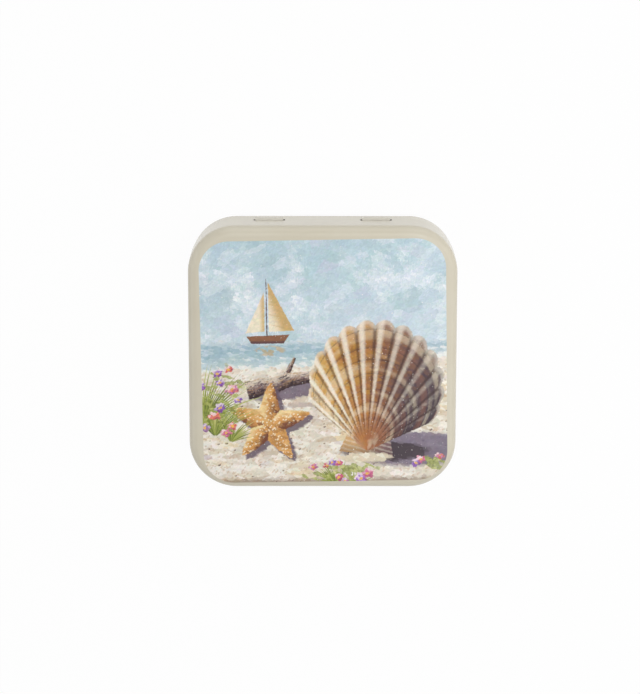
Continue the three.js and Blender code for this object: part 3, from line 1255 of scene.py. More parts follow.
@dataclass(frozen=True)
class StarFish:
    """A starfish that lies on the sand, lit from the upper left."""

    x: float = -13.0
    y: float = -14.5
    turn: float = math.radians(14)
    arms: int = 5
    reach: float = 9.8
    arm_width: float = 3.1
    arm_taper: float = 0.62  # the power of what is left of an arm's length
    edge: Pair = (-0.1, 0.12)
    light: float = math.radians(125)
    lit: Tone = Tone(paint_chip(245, 216, 160), 0.0, 0.7)
    skin: Colour = paint_chip(219, 161, 92)
    shaded: Tone = Tone(paint_chip(122, 74, 56), 0.15, -0.7)
    slope: float = 1.3  # how soon an arm's side turns fully away from its axis
    light_stray: float = 0.5
    cast: Tone = Tone(paint_chip(104, 86, 102), -0.3, 0.2, 0.9)
    cast_offset: float = 0.9  # right and down
    dots: Tone = Tone(paint_chip(252, 238, 208), 0.3, 0.16, 0.8)
    dot_spacing: float = 0.75
    dotted: Pair = (1.6, 0.5)  # how far from an arm's axis the dots end and are full
    rough_share: float = 0.4  # see Canvas.drawn
    fine_share: float = 0.5

    def folded(self, spot: Spot) -> tuple[Value, Value, Value]:
        """Folds the arms onto one.

        The direction is a whole number of equal turns, the arm, plus a rest on one side of it.

        Args:
            spot: The place, seen from the middle of the starfish.

        Returns:
            How far out along the arm, how far from its axis, and the direction that this side of it faces.
        """
        share = 2 * math.pi / self.arms
        turns = spot.x.board.arctangent(spot.y, spot.x) / share
        arm = (turns + 0.5).floor
        rest = turns - arm
        distance = spot.distance
        along = distance * (rest * share).cosine
        aside = distance * abs(rest * share).sine
        facing = arm * share + rest.maths("SIGN", rest) * (math.pi / 2)
        return along, aside, facing

    def paint(self, canvas: Canvas) -> None:
        """Paints the shadow, then the arms with a lit and a shaded side and pale dots along the middle.

        Args:
            canvas: The picture.
        """
        cast_from = (self.x + self.cast_offset, self.y - self.cast_offset)
        rough = canvas.drawn(canvas.small, self.rough_share).seen_from(*cast_from).turned(self.turn)
        cast_along, cast_aside, _ = self.folded(rough)
        canvas.tone(self.cast, self.arm(cast_along, cast_aside))
        spot = canvas.drawn(canvas.fine, self.fine_share).seen_from(self.x, self.y).turned(self.turn)
        along, aside, facing = self.folded(spot)
        slope = (aside / self.arm_width * self.slope).at_most(1.0)
        lightness = (facing - (self.light - self.turn)).cosine * slope
        lightness = lightness + canvas.small.chance[2].around(self.light_stray)
        colour = self.shaded.over(self.lit.over(self.skin, lightness), lightness)
        bumps = canvas.board.cells(spot.vector, self.dot_spacing)
        colour = self.dots.over(colour, bumps.distance, aside.step(*self.dotted))
        canvas.lay(colour, self.arm(along, aside).step(*self.edge))

    def arm(self, along: Value, aside: Value) -> Value:
        """Works out how far inside an arm a place lies.

        The arm's half width is its greatest one times a power of what is left of the length.

        Args:
            along, aside: The place, out along the arm and away from its axis.

        Returns:
            The distance, negative outside.
        """
        left = 1 - along / self.reach
        width = left.at_least(0.0) ** self.arm_taper * self.arm_width
        return (width - aside).at_most(left * self.reach)


@dataclass(frozen=True)
class Limb:
    """A tapering limb of wood, whose half width falls evenly from its thick to its thin end."""

    length: float
    thick: float
    thin: float
    root: float = 0.5  # how far it runs back beyond its thick end
    edge: Pair = (-0.1, 0.12)
    bark: Colour = paint_chip(132, 110, 110)
    dark: Colour = paint_chip(54, 38, 44)
    lit: Tone = Tone(paint_chip(224, 210, 194), -0.1, 0.75)
    light_stray: float = 0.5
    gold: Tone = Tone(paint_chip(186, 142, 88), 0.5, 0.62, 0.6)
    grooves: Tone = Tone(dark, 0.47, 0.38, 0.8)
    underside: Tone = Tone(dark, 0.0, -0.75, 0.9)
    grain: Patches = Patches(3.4, 0.34, detail=3.0, roughness=0.6)

    def paint(self, canvas: Canvas, place: Spot) -> None:
        """Paints the limb.

        Args:
            canvas: The picture.
            place: The place along the limb and across it, from its thick end.
        """
        half = place.x * ((self.thin - self.thick) / self.length) + self.thick
        inside = (half - abs(place.y)).at_most(place.x + self.root).at_most(self.length - place.x)
        across = place.y / half + canvas.fine.chance[1].around(self.light_stray)
        grain = self.grain.level(place)
        colour = self.lit.over(self.bark, across)
        colour = self.grooves.over(self.gold.over(colour, grain), grain)
        canvas.lay(self.underside.over(colour, across), inside.step(*self.edge))


@dataclass(frozen=True)
class Driftwood:
    """A weathered log half sunk in the sand, with the stump of a branch, lit from the upper left."""

    x: float = -17.5
    y: float = -6.4
    lean: float = math.radians(12)
    log: Limb = Limb(20.0, 2.3, 1.0)
    log_sway: Sway = Sway(4.0, 0.85, 3.0)
    stump: Limb = Limb(6.0, 0.85, 0.36)
    stump_root: Pair = (8.4, 0.4)  # along the log and across it
    stump_lean: float = math.radians(52)
    cast: Colour = paint_chip(112, 96, 116)
    cast_shadow: Oval = Oval(11.0, -2.3, 11.6, 2.3, 0.9)
    rough_share: float = 0.5  # see Canvas.drawn
    fine_share: float = 0.45

    def paint(self, canvas: Canvas) -> None:
        """Paints the shadow, the stump behind, then the log.

        Args:
            canvas: The picture.
        """
        rough = canvas.drawn(canvas.small, self.rough_share).seen_from(self.x, self.y).turned(self.lean)
        canvas.lay(self.cast, self.cast_shadow.cover(rough))
        place = canvas.drawn(canvas.fine, self.fine_share).seen_from(self.x, self.y).turned(self.lean)
        self.stump.paint(canvas, place.seen_from(*self.stump_root).turned(self.stump_lean))
        self.log.paint(canvas, Spot(place.x, place.y + self.log_sway.at(place.x)))


@dataclass(frozen=True)
class DuneGrass:
    """A tuft of blades that fan out from one root: stripes in direction, each with its own length."""

    x: float
    y: float
    blades: int
    reach: float
    lean: float
    sweep: float  # radians that a blade leans further over with each millimetre
    seed: float
    fan: float = 1.6  # radians that the blades share
    fan_edge: Pair = (0.95, 0.8)  # radians from the middle blade
    root_edge: Pair = (0.1, 0.6)
    blade_edge: Pair = (0.0, 0.08)
    shortest: float = 0.4  # as a share of the reach
    blade_width: float = 0.33
    blade_taper: float = 0.7
    greens: Stops = (
        (0.0, paint_chip(88, 98, 52)),
        (0.45, paint_chip(146, 158, 72)),
        (1.0, paint_chip(216, 214, 136)),
    )
    green_chance: float = 0.6  # how much lighter a blade can be by chance
    green_rise: float = 0.5  # how much lighter it gets towards its tip

    def paint(self, canvas: Canvas) -> None:
        """Paints the tuft, with the blades thinning towards their tips.

        Args:
            canvas: The picture.
        """
        board = canvas.board
        spot = canvas.spot.seen_from(self.x, self.y)
        distance = spot.distance
        angle = board.arctangent(spot.x, spot.y) - self.lean - distance * self.sweep
        stripes = angle * (self.blades / self.fan)
        root = {"Vector": board.vector(stripes.floor, self.seed)}
        chance = board.add("ShaderNodeTexWhiteNoise", {"noise_dimensions": "2D"}, root)
        length = chance.between(self.shortest, 1.0) * self.reach
        aside = abs(stripes.fraction - 0.5) * (self.fan / self.blades) * distance
        width = (1 - distance / length).at_least(0.0) ** self.blade_taper * self.blade_width
        cover = (width - aside).step(*self.blade_edge) * abs(angle).step(*self.fan_edge)
        _, tint, _ = board.channels(chance.output("Color"))
        lightness = tint * self.green_chance + distance / self.reach * self.green_rise
        canvas.lay(board.ramp(lightness, self.greens), cover * distance.step(*self.root_edge))


@dataclass(frozen=True)
class WildFlowers:
    """Loose flowers and leaves over a patch, with one flower in each Voronoi cell that the patch holds."""

    x: float
    y: float
    half_width: float
    half_height: float
    spacing: float
    seed: float
    leaf_reach: float = 1.15  # of the leaves, in patches
    leaf_edge: Pair = (1.0, 0.8)
    leaf_rarity: Pair = (0.4, 0.9)  # in the middle of the patch and at its edge
    leaf_cover: float = 0.85
    greens: Stops = (
        (0.0, paint_chip(104, 112, 58)),
        (0.5, paint_chip(158, 168, 84)),
        (1.0, paint_chip(218, 216, 150)),
    )
    petals: int = 5
    petal_turn: float = 6.0  # radians that a flower may be turned by
    petal_lobe: float = 0.13
    petal_raggedness: Pair = (0.72, 1.02)
    flower_radius: Pair = (0.26, 0.46)  # least and greatest, in cells
    flatness: Pair = (1.0, 1.5)  # of a flower that is seen from above and from the side
    petal_edge: Pair = (-0.08, 0.1)
    tints: Stops = (
        (0.0, paint_chip(222, 128, 166)),
        (0.24, paint_chip(198, 78, 110)),
        (0.42, paint_chip(236, 134, 98)),
        (0.58, paint_chip(170, 124, 208)),
        (0.8, paint_chip(138, 96, 184)),
        (1.0, paint_chip(240, 214, 224)),
    )
    tint_stray: float = 0.12
    light_lean: float = 0.5
    light_stray: float = 1.3
    lit: Tone = Tone(paint_chip(252, 234, 236), 0.1, 0.9, 0.75)
    shaded: Tone = Tone(paint_chip(128, 62, 96), -0.2, -1.1, 0.55)
    eye: Tone = Tone(paint_chip(240, 190, 84), 0.42, 0.26, 0.9)
    leaf_share: float = 0.8  # see Canvas.drawn
    flower_share: float = 0.7

    def paint(self, canvas: Canvas) -> None:
        """Paints the leaves, then the flowers."""
        self.paint_leaves(canvas)
        self.paint_flowers(canvas)

    def paint_leaves(self, canvas: Canvas) -> None:
        """Paints short green touches where a touch's own chance is high, fewer towards the patch's edge.

        Args:
            canvas: The picture.
        """
        place = canvas.drawn(canvas.small, self.leaf_share).seen_from(self.x, self.y)
        reach = (self.half_width * self.leaf_reach, self.half_height * self.leaf_reach)
        edge = place.counted_in(*reach).distance
        cover = (canvas.small.chance[0] > edge.between(*self.leaf_rarity)) * edge.step(*self.leaf_edge)
        tint = (canvas.fine.chance[2] + canvas.small.chance[1]) * 0.5
        canvas.lay(canvas.board.ramp(tint, self.greens), cover * self.leaf_cover)

    def paint_flowers(self, canvas: Canvas) -> None:
        """Paints petals as uneven lobes round each cell's middle, shaded below, with a yellow eye.

        Args:
            canvas: The picture.
        """
        board = canvas.board
        spot = canvas.drawn(canvas.fine, self.flower_share)
        cells = board.cells(board.vector(spot.x + self.seed, spot.y), self.spacing)
        tint, tilt, turn = cells.chance
        centre = cells.middle.seen_from(self.seed, 0.0)
        petal = Spot(spot.x - centre.x, (spot.y - centre.y) * tilt.between(*self.flatness))
        angle = board.arctangent(petal.y, petal.x) * self.petals + turn * self.petal_turn
        uneven = canvas.fine.chance[0].between(*self.petal_raggedness) + angle.sine * self.petal_lobe
        radius = uneven * turn.between(*self.flower_radius) * self.spacing
        patch = centre.seen_from(self.x, self.y).counted_in(self.half_width, self.half_height)
        distance = petal.distance
        cover = (radius - distance).step(*self.petal_edge) * (patch.distance < 1.0)
        colour = board.ramp(tint + canvas.fine.chance[1].around(self.tint_stray), self.tints)
        light = (petal.y - petal.x * self.light_lean) / radius
        light = light + canvas.fine.chance[2].around(self.light_stray)
        canvas.lay(self.shaded.over(self.lit.over(colour, light), light), cover)
        canvas.tone(self.eye, distance, cover)


@dataclass(frozen=True)
class Pebbles:
    """Small stones on the near sand, an oval in some of the cells, lit on their upper left."""

    spacing: float = 1.9
    flatness: float = 1.5
    rarity: float = 0.76
    below: float = -4.0
    fade: float = 6.0  # the depth of the strip where they come in
    radius: Pair = (0.05, 0.22)  # least and greatest, in cells
    edge: Pair = (-0.02, 0.03)
    strength: float = 0.95
    brown: Colour = paint_chip(138, 112, 96)
    pale: Colour = paint_chip(232, 216, 192)
    light_lean: float = 0.6
    lit: Tone = Tone(pale, -0.1, 1.3, 0.8)
    shaded: Tone = Tone(paint_chip(84, 66, 66), 0.0, -1.2)
    touch_share: float = 0.2  # see Canvas.drawn

    def paint(self, canvas: Canvas) -> None:
        """Paints the stones.

        Args:
            canvas: The picture.
        """
        board = canvas.board
        spot = canvas.drawn(canvas.fine, self.touch_share)
        flat = Spot(spot.x, spot.y * self.flatness)
        cells = board.cells(flat.vector, self.spacing)
        chance, bulk, tint = cells.chance
        offset = Spot(flat.x - cells.middle.x, flat.y - cells.middle.y)
        size = bulk.between(*self.radius)
        light = (offset.y - offset.x * self.light_lean) / size
        colour = self.lit.over(board.mix(tint, self.brown, self.pale), light)
        here = (chance > self.rarity) * spot.y.step(self.below, self.below - self.fade)
        cover = (size - cells.distance).step(*self.edge) * here * self.strength
        canvas.lay(self.shaded.over(colour, light), cover)


@dataclass(frozen=True)
class Spatter:
    """Drops of pale paint over the whole picture: a dot in the middle of some of the cells."""

    spacing: float
    smallest: float  # radius, in cells. The largest is twice as big.
    rarity: float
    softness: float = 0.05
    strength: Pair = (0.4, 1.0)
    drop: Colour = paint_chip(255, 251, 242)

    def paint(self, canvas: Canvas) -> None:
        """Paints the drops.

        Args:
            canvas: The picture.
        """
        cells = canvas.board.cells(canvas.spot.vector, self.spacing)
        chance, bulk, thickness = cells.chance
        size = bulk.between(self.smallest, 2 * self.smallest)
        cover = (size - cells.distance).step(0.0, self.softness) * (chance > self.rarity)
        canvas.lay(self.drop, cover * thickness.between(*self.strength))


@dataclass(frozen=True)
class SeasidePicture:
    """The print on the lid: its place on the top and what is painted in it, from back to front."""

    middle_x: float = 0.3 * MM
    middle_y: float = -0.95 * MM
    turn: float = math.radians(1.0)  # the sheet was printed a little askew
    half_width: float = 28.35 * MM
    half_height: float = 28.65 * MM
    corner_radius: float = 7.0 * MM
    edge: float = 0.05  # softness of the print's edge, in millimetres
    motifs: tuple[Motif, ...] = (
        SkyWash(),
        SeaAndSand(),
        SailingBoat(),
        Pebbles(),
        Driftwood(),
        ScallopShell(),
        StarFish(),
        DuneGrass(-28.0, -14.0, 24, 19.0, 0.35, 0.012, 1.0),
        DuneGrass(-25.5, -17.5, 22, 13.0, 0.0, 0.02, 4.0),
        DuneGrass(-22.0, -19.0, 18, 8.5, 0.3, 0.03, 6.0),
        DuneGrass(2.5, -30.0, 20, 7.5, -0.25, -0.03, 8.0),
        DuneGrass(6.5, -30.5, 18, 6.0, 0.2, 0.03, 9.0),
        WildFlowers(-24.0, -9.5, 5.8, 9.2, 4.1, 11.0),
        WildFlowers(3.0, -26.0, 9.5, 2.8, 3.5, 57.0),
        WildFlowers(25.0, -24.8, 4.0, 2.8, 3.2, 23.0),
    )
    broad_mottle: Pair = (0.07, 0.5)  # depth, and how much of it the three colours share
    small_mottle: Pair = (0.11, 0.7)
    fine_mottle: Pair = (0.14, 0.75)
    spatters: tuple[Spatter, ...] = (Spatter(0.9, 0.05, 0.66), Spatter(2.3, 0.04, 0.72))

    def spot(self, board: Board) -> Spot:
        """Works out the place on the picture, in millimetres from its middle, from the lid's coordinates.

        Args:
            board: The board of the finish.

        Returns:
            The place.
        """
        shifted = board.blend("SUBTRACT", board.own_place(), (self.middle_x, self.middle_y, 0.0))
        x, y, _ = board.parts(board.scaled(shifted, 1 / MM))
        return Spot(x, y).turned(self.turn)

    def cover(self, spot: Spot) -> Value:
        """1 on the print: inside the distance line of a rectangle with round corners.

        Args:
            spot: The place on the picture.

        Returns:
            The cover.
        """
        radius = self.corner_radius / MM
        across = (abs(spot.x) - (self.half_width / MM - radius)).at_least(0.0)
        upright = (abs(spot.y) - (self.half_height / MM - radius)).at_least(0.0)
        return (Spot(across, upright).distance - radius).step(self.edge, -self.edge)

    def paint(self, board: Board, spot: Spot) -> Value:
        """Paints the picture from back to front.

        Args:
            board: The board of the finish.
            spot: The place on the picture.

        Returns:
            The picture's colour.
        """
        canvas = Canvas(board, spot)
        for motif in self.motifs:
            motif.paint(canvas)
        canvas.mottle(canvas.broad, *self.broad_mottle)
        canvas.mottle(canvas.small, *self.small_mottle)
        canvas.mottle(canvas.fine, *self.fine_mottle)
        for spatter in self.spatters:
            spatter.paint(canvas)
        return canvas.colour


@dataclass(frozen=True)
class CreamLacquer:
    """Glossy cream lacquer on the sheet, with painted shade, a near-black colour, in the narrow gaps beside
    the knuckles.
    """

    hinge_y: float
    hinge_height: float
    colour: Colour = paint_chip(215, 208, 189)
    deeper: Colour = paint_chip(208, 199, 177)
    cloud_size: float = 9 * MM
    cloud_edge: Pair = (0.35, 0.7)
    cloud_strength: float = 0.35
    # painted shade: a near-black colour laid where shade falls in the gaps beside the knuckles
    painted_shade: Colour = paint_chip(22, 19, 15)
    painted_shade_aside: Levels = (-0.25, -0.1, 0.46, 0.61)  # mm out from a knuckle's end
    painted_shade_inwards: Pair = (0.59, 0.55)  # mm to the front or back of the hinge line
    painted_shade_above: Levels = (-0.62, -0.45, 1.3, 1.6)  # mm over the hinge line
    painted_shade_grain: float = 0.25 * MM
    painted_shade_stray: float = 0.3  # mm that its ragged edge moves in all
    roughness: float = 0.2
    roughness_change: float = 0.12
    gloss_size: float = 2 * MM  # of the patches that are more or less glossy
    peel_size: float = 0.6 * MM
    peel_height: float = 1.2e-6

    def ground(self, board: Board) -> Value:
        """Works out the lacquer's colour: the cream with slightly deeper clouds, and the painted shade in
        the gaps beside the knuckles.

        Args:
            board: The board of the finish.

        Returns:
            The colour.
        """
        place = board.own_place()
        patches = board.noise(place, self.cloud_size, detail=3.0)
        clouds = patches.step(*self.cloud_edge) * self.cloud_strength
        # the near-black painted shade goes over the cream in the gaps beside the knuckles
        return board.mix(self.painted_shade_mask(board, place), board.mix(clouds, self.colour, self.deeper), self.painted_shade)

    def painted_shade_mask(self, board: Board, place: Value) -> Value:
        """Finds where the painted shade goes: the roll and the sheet's inner face beside the two ends of
        each knuckle, with a ragged edge.

        Args:
            board: The board of the finish.
            place: The place on the piece.

        Returns:
            1 there, and 0 elsewhere.
        """
        x, y, z = board.parts(board.scaled(place, 1 / MM))
        ragged = board.noise(place, self.painted_shade_grain).around(self.painted_shade_stray)
        aside = abs(abs(x) - HINGE_SPACING / 2 / MM) - KNUCKLE_WIDTH / 2 / MM + ragged
        inwards = abs(y - self.hinge_y / MM)
        above = z - self.hinge_height / MM
        painted_shade_mask = aside.band(*self.painted_shade_aside) * inwards.step(*self.painted_shade_inwards)
        return painted_shade_mask * above.band(*self.painted_shade_above)

    def shader(self, board: Board, colour: Value) -> Value:
        """Makes glossy lacquer with a fine orange peel.

        Args:
            board: The board of the finish.
            colour: The lacquer's colour.

        Returns:
            The shader.
        """
        place = board.own_place()
        patches = board.noise(place, self.gloss_size, detail=4.0, roughness=0.6)
        gloss = patches.around(self.roughness_change) + self.roughness
        peel = {"Strength": 1.0, "Distance": self.peel_height, "Height": board.noise(place, self.peel_size)}
        normal = board.add("ShaderNodeBump", {}, peel)
        inputs = {"Base Color": colour, "Roughness": gloss, "Normal": normal}
        return board.add("ShaderNodeBsdfPrincipled", {}, inputs)

    def material(self, name: str, picture: SeasidePicture | None = None) -> bpy.types.Material:
        """Makes the finish.

        Args:
            name: The material's name.
            picture: What is printed on it, or None for plain lacquer.

        Returns:
            The material.
        """
        material, board = new_material(name)
        colour = self.ground(board)
        if picture is not None:
            spot = picture.spot(board)
            colour = board.mix(picture.cover(spot), colour, picture.paint(board, spot))
        board.show(self.shader(board, colour))
        return material


@dataclass(frozen=True)
class BareSteel:
    """The cut edge of the sheet, which no lacquer covers: steel made far darker than bare steel, partly as
    painted shade where the edges sit in the gaps beside the knuckles.
    """

    # far darker than bare steel: partly painted shade for the cut edges in the gaps beside the knuckles
    colour: Colour = (0.11, 0.1, 0.09)
    streak_size: float = 0.15 * MM
    roughness: Pair = (0.2, 0.5)  # least and greatest

    def material(self, name: str) -> bpy.types.Material:
        """Makes the finish.

        Args:
            name: The material's name.

        Returns:
            The material.
        """
        material, board = new_material(name)
        roughness = board.noise(board.own_place(), self.streak_size, detail=3.0).between(*self.roughness)
        inputs = {"Base Color": self.colour, "Metallic": 1.0, "Roughness": roughness}
        board.show(board.add("ShaderNodeBsdfPrincipled", {}, inputs))
        return material


@dataclass(frozen=True)
class TinLid:
    """The lid: a flat top, a round shoulder and a skirt with a rolled edge and two hinge windows."""

    plan: RoundSquare
    top: float
    hinge_height: float
    curl_radius: float
    shoulder_radius: float = 2.1 * MM
    curl_turn: float = 270.0  # degrees that the edge is rolled through
    window_side_gap: float = 0.4 * MM
    window_top_gap: float = 0.3 * MM
    window_corner_radius: float = 0.35 * MM

    def windows(self) -> list[RoundedSlot]:
        """Works out the two openings in the back of the skirt, from the hinge line up over each knuckle.

        Returns:
            The windows, the left one first.
        """
        knuckle_radius = self.curl_radius + KNUCKLE_CLEARANCE + SHEET
        upper_edge = self.hinge_height + knuckle_radius + self.window_top_gap
        half_width = KNUCKLE_WIDTH / 2 + self.window_side_gap
        return [
            RoundedSlot(x, half_width, self.hinge_height, upper_edge, self.window_corner_radius)
            for x in KNUCKLE_MIDDLES
        ]

    def section(self) -> SheetLine:
        """Draws the top, which turns down through the shoulder into the skirt, and the rolled lower edge.

        Returns:
            The middle line of the sheet, from the flat top out.
        """
        marks = np.concatenate([window.level_marks for window in self.windows()])
        line = SheetLine(self.shoulder_radius, self.top - SHEET / 2, OUTWARDS)
        line.bend(QUARTER, self.shoulder_radius - SHEET / 2)
        line.to_height(self.hinge_height, marks)
        return line.bend(self.curl_turn, self.curl_radius - SHEET / 2)

    def build(self) -> bpy.types.Object:
        """Makes the lid as one piece of sheet.

        Returns:
            The lid, in its closed place.
        """
        windows = self.windows()
        line = self.section()
        columns = self.plan.columns(np.concatenate([window.upright_marks for window in windows]))
        skirt_end = np.flatnonzero(np.isclose(line.rows[:, 1], self.hinge_height, atol=TOUCH))[0]
        heights = self.hinge_height - (line.runs - line.runs[skirt_end])
        surface = SheetSurface()
        PanGrid(self.plan, columns, line).add_to(surface, columns.clearance(windows, heights))
        return surface.thickened("lid_shell", left=Face.INSIDE, right=Face.OUTSIDE)


@dataclass(frozen=True)
class TinBase:
    """The base: a floor on a ring, a stepped wall with a rolled rim, and two tabs rolled into knuckles."""

    plan: RoundSquare
    hinge_height: float
    rim_top: float
    curl_radius: float
    wall_set_in: float = 0.25 * MM
    bottom_radius: float = 2.0 * MM
    foot_width: float = 2.4 * MM
    panel_rise: float = 0.5 * MM
    panel_bend_radius: float = 0.8 * MM
    ledge_gap: float = 0.15 * MM
    ledge_bend_radius: float = 0.4 * MM
    wall_draft: float = 0.32 * MM
    draft_bend_radius: float = 2.0 * MM
    rim_radius: float = 0.5 * MM
    rim_turn: float = 270.0  # degrees that the rim is rolled through
    knuckle_wrap: float = 68.0  # degrees that a tab carries on below the hinge line, on the outside
    notch_side_gap: float = 0.35 * MM
    notch_drop: float = 0.35 * MM
    notch_height: float = 60 * MM  # far more than is left above it, so that it is open at the top
    notch_corner_radius: float = 0.3 * MM
    tab_column_spacing: float = 0.9 * MM

    @property
    def knuckle_bore(self) -> float:
        """The radius of the inside of a knuckle."""
        return self.curl_radius + KNUCKLE_CLEARANCE

    @property
    def wall_inset(self) -> float:
        """How far the middle of the upper wall's sheet lies in from the lid's skirt."""
        return self.curl_radius + self.knuckle_bore + SHEET / 2

    def notches(self) -> list[RoundedSlot]:
        """Works out the two openings in the upper wall that the tabs are bent out of.

        Returns:
            The notches, the left one first.
        """
        bottom = self.hinge_height - self.notch_drop
        top = bottom + self.notch_height
        half_width = KNUCKLE_WIDTH / 2 + self.notch_side_gap
        return [RoundedSlot(x, half_width, bottom, top, self.notch_corner_radius) for x in KNUCKLE_MIDDLES]

    def section(self) -> SheetLine:
        """Draws the floor from its raised panel out over the foot, then the wall over the ledge to the rim.

        Returns:
            The middle line of the sheet, from the panel out.
        """
        panel_turn = math.acos(1 - self.panel_rise / (2 * self.panel_bend_radius))
        panel_slope = 2 * self.panel_bend_radius * math.sin(panel_turn)
        panel_edge = self.wall_set_in + self.bottom_radius + self.foot_width + panel_slope
        ledge_middle = self.hinge_height - self.curl_radius - self.ledge_gap - SHEET / 2
        rim_centre = self.rim_top - self.rim_radius
        draft = math.degrees(math.atan2(self.wall_draft, rim_centre - self.hinge_height))
        line = SheetLine(panel_edge, self.panel_rise + SHEET / 2, OUTWARDS)
        line.bend(math.degrees(panel_turn), self.panel_bend_radius)
        line.bend(-math.degrees(panel_turn), self.panel_bend_radius)
        line.to_inset(self.wall_set_in + self.bottom_radius)
        line.bend(-QUARTER, self.bottom_radius - SHEET / 2)
        line.to_height(ledge_middle - self.ledge_bend_radius)
        line.bend(-QUARTER, self.ledge_bend_radius)
        line.to_inset(self.wall_inset - self.ledge_bend_radius)
        line.bend(QUARTER, self.ledge_bend_radius)
        line.to_height(self.hinge_height, np.concatenate([notch.level_marks for notch in self.notches()]))
        line.bend(-draft, self.draft_bend_radius)
        line.to_height(rim_centre)
        return line.bend(-self.rim_turn, self.rim_radius - SHEET / 2)

    def add_tab(self, surface: SheetSurface, root: np.ndarray, x: np.ndarray) -> None:
        """Adds a tab that stands up out of the wall, then wraps over the lid's rolled edge and down again.

        Its section runs in the plane from front to back, at the same insets and heights for each x.

        Args:
            surface: The base's middle surface.
            root: The numbers of the wall's points that the tab grows from.
            x: Where those points lie along the hinge line.
        """
        line = SheetLine(self.wall_inset, self.hinge_height - self.notch_drop, UPWARDS)
        line.to_height(self.hinge_height)
        line.bend(2 * QUARTER + self.knuckle_wrap, self.knuckle_bore + SHEET / 2)
        insets, heights, headings = line.rows[1:].T
        places = [(self.plan.back_y - insets)[:, None], heights[:, None]]
        points = np.stack(np.broadcast_arrays(x[None, :], *places), axis=-1)
        facing = [np.sin(headings)[:, None], np.cos(headings)[:, None]]
        normals = np.stack(np.broadcast_arrays(np.zeros((1, len(x))), *facing), axis=-1)
        surface.add_grid(np.concatenate([root[None, :], surface.add_points(points, normals)]))

    def build(self) -> bpy.types.Object:
        """Makes the base as one piece of sheet.

        Returns:
            The base, in its place.
        """
        notches = self.notches()
        line = self.section()
        tab_lines = [
            filled_lines(x - KNUCKLE_WIDTH / 2, x + KNUCKLE_WIDTH / 2, self.tab_column_spacing)
            for x in KNUCKLE_MIDDLES
        ]
        marks = [*tab_lines, *(notch.upright_marks for notch in notches)]
        columns = self.plan.columns(np.concatenate(marks))
        wall_rows = np.flatnonzero(np.isclose(line.rows[:, 1], notches[0].bottom, atol=TOUCH))
        root_row = wall_rows[np.isclose(line.rows[wall_rows, 0], self.wall_inset, atol=TOUCH)][0]
        heights = notches[0].bottom + (line.runs - line.runs[root_row])
        surface = SheetSurface()
        numbers = PanGrid(self.plan, columns, line).add_to(surface, columns.clearance(notches, heights))
        for middle in KNUCKLE_MIDDLES:
            held = np.abs(columns.back_x - middle) <= KNUCKLE_WIDTH / 2 + TOUCH
            self.add_tab(surface, numbers[root_row, held], columns.back_x[held])
        return surface.thickened("base_shell", left=Face.OUTSIDE, right=Face.INSIDE)


@dataclass(frozen=True)
class ProductCamera:
    """The photograph's viewpoint: high above the tin, and leaning a little towards its hinges."""

    tilt: float = math.radians(13.04)
    roll: float = math.radians(0.03)
    distance: float = 640 * MM
    aim_height: float = 8.5 * MM
    pixels_per_metre: float = 4277.0
    aim_pixel: Pair = (322.6, 349.5)
    image_size: tuple[int, int] = (640, 694)
    sensor: float = 36.0  # along the image's long side, in the lens's own millimetres
    nearest: float = 0.01  # that it sees, counted in its distance
    farthest: float = 10.0

    def build(self) -> None:
        """Makes the camera: back along the tilt, moved sideways so that the aim falls on its pixel."""
        back = Vector((0, math.sin(self.tilt), math.cos(self.tilt)))
        up = (Vector((0, 1, 0)) - back * back.y).normalized()
        right = up.cross(back)
        right, up = (
            right * math.cos(self.roll) + up * math.sin(self.roll),
            up * math.cos(self.roll) - right * math.sin(self.roll),
        )
        width, height = self.image_size
        off_right = (self.aim_pixel[0] - width / 2) / self.pixels_per_metre
        off_up = (height / 2 - self.aim_pixel[1]) / self.pixels_per_metre
        place = Vector((0, 0, self.aim_height)) + back * self.distance - right * off_right - up * off_up
        data = bpy.data.cameras.new("product_camera")
        data.sensor_width = self.sensor
        data.lens = self.sensor * self.distance * self.pixels_per_metre / max(self.image_size)
        data.clip_start = self.distance * self.nearest
        data.clip_end = self.distance * self.farthest
        camera = placed("product_camera", data)
        camera.matrix_world = Matrix.Translation(place) @ Matrix((right, up, back)).transposed().to_4x4()
        bpy.context.scene.camera = camera


@dataclass(frozen=True)
class SoftBox:
    """A square lamp that faces the tin: its bearing from the front towards the right, height and power."""

    name: str
    bearing: float
    elevation: float
    distance: float
    power: float
    size: float = 0.4

    def hang(self) -> None:
        """Hangs the lamp where its bearing and elevation point, at its distance, turned to the tin."""
        lamp = bpy.data.lights.new(self.name, "AREA")
        lamp.energy = self.power
        lamp.size = self.size
        bearing, elevation = math.radians(self.bearing), math.radians(self.elevation)
        level = math.cos(elevation)
        side = Vector((level * math.sin(bearing), -level * math.cos(bearing), math.sin(elevation)))
        holder = placed(self.name, lamp)
        holder.location = side * self.distance
        holder.rotation_euler = side.to_track_quat("Z", "Y").to_euler()


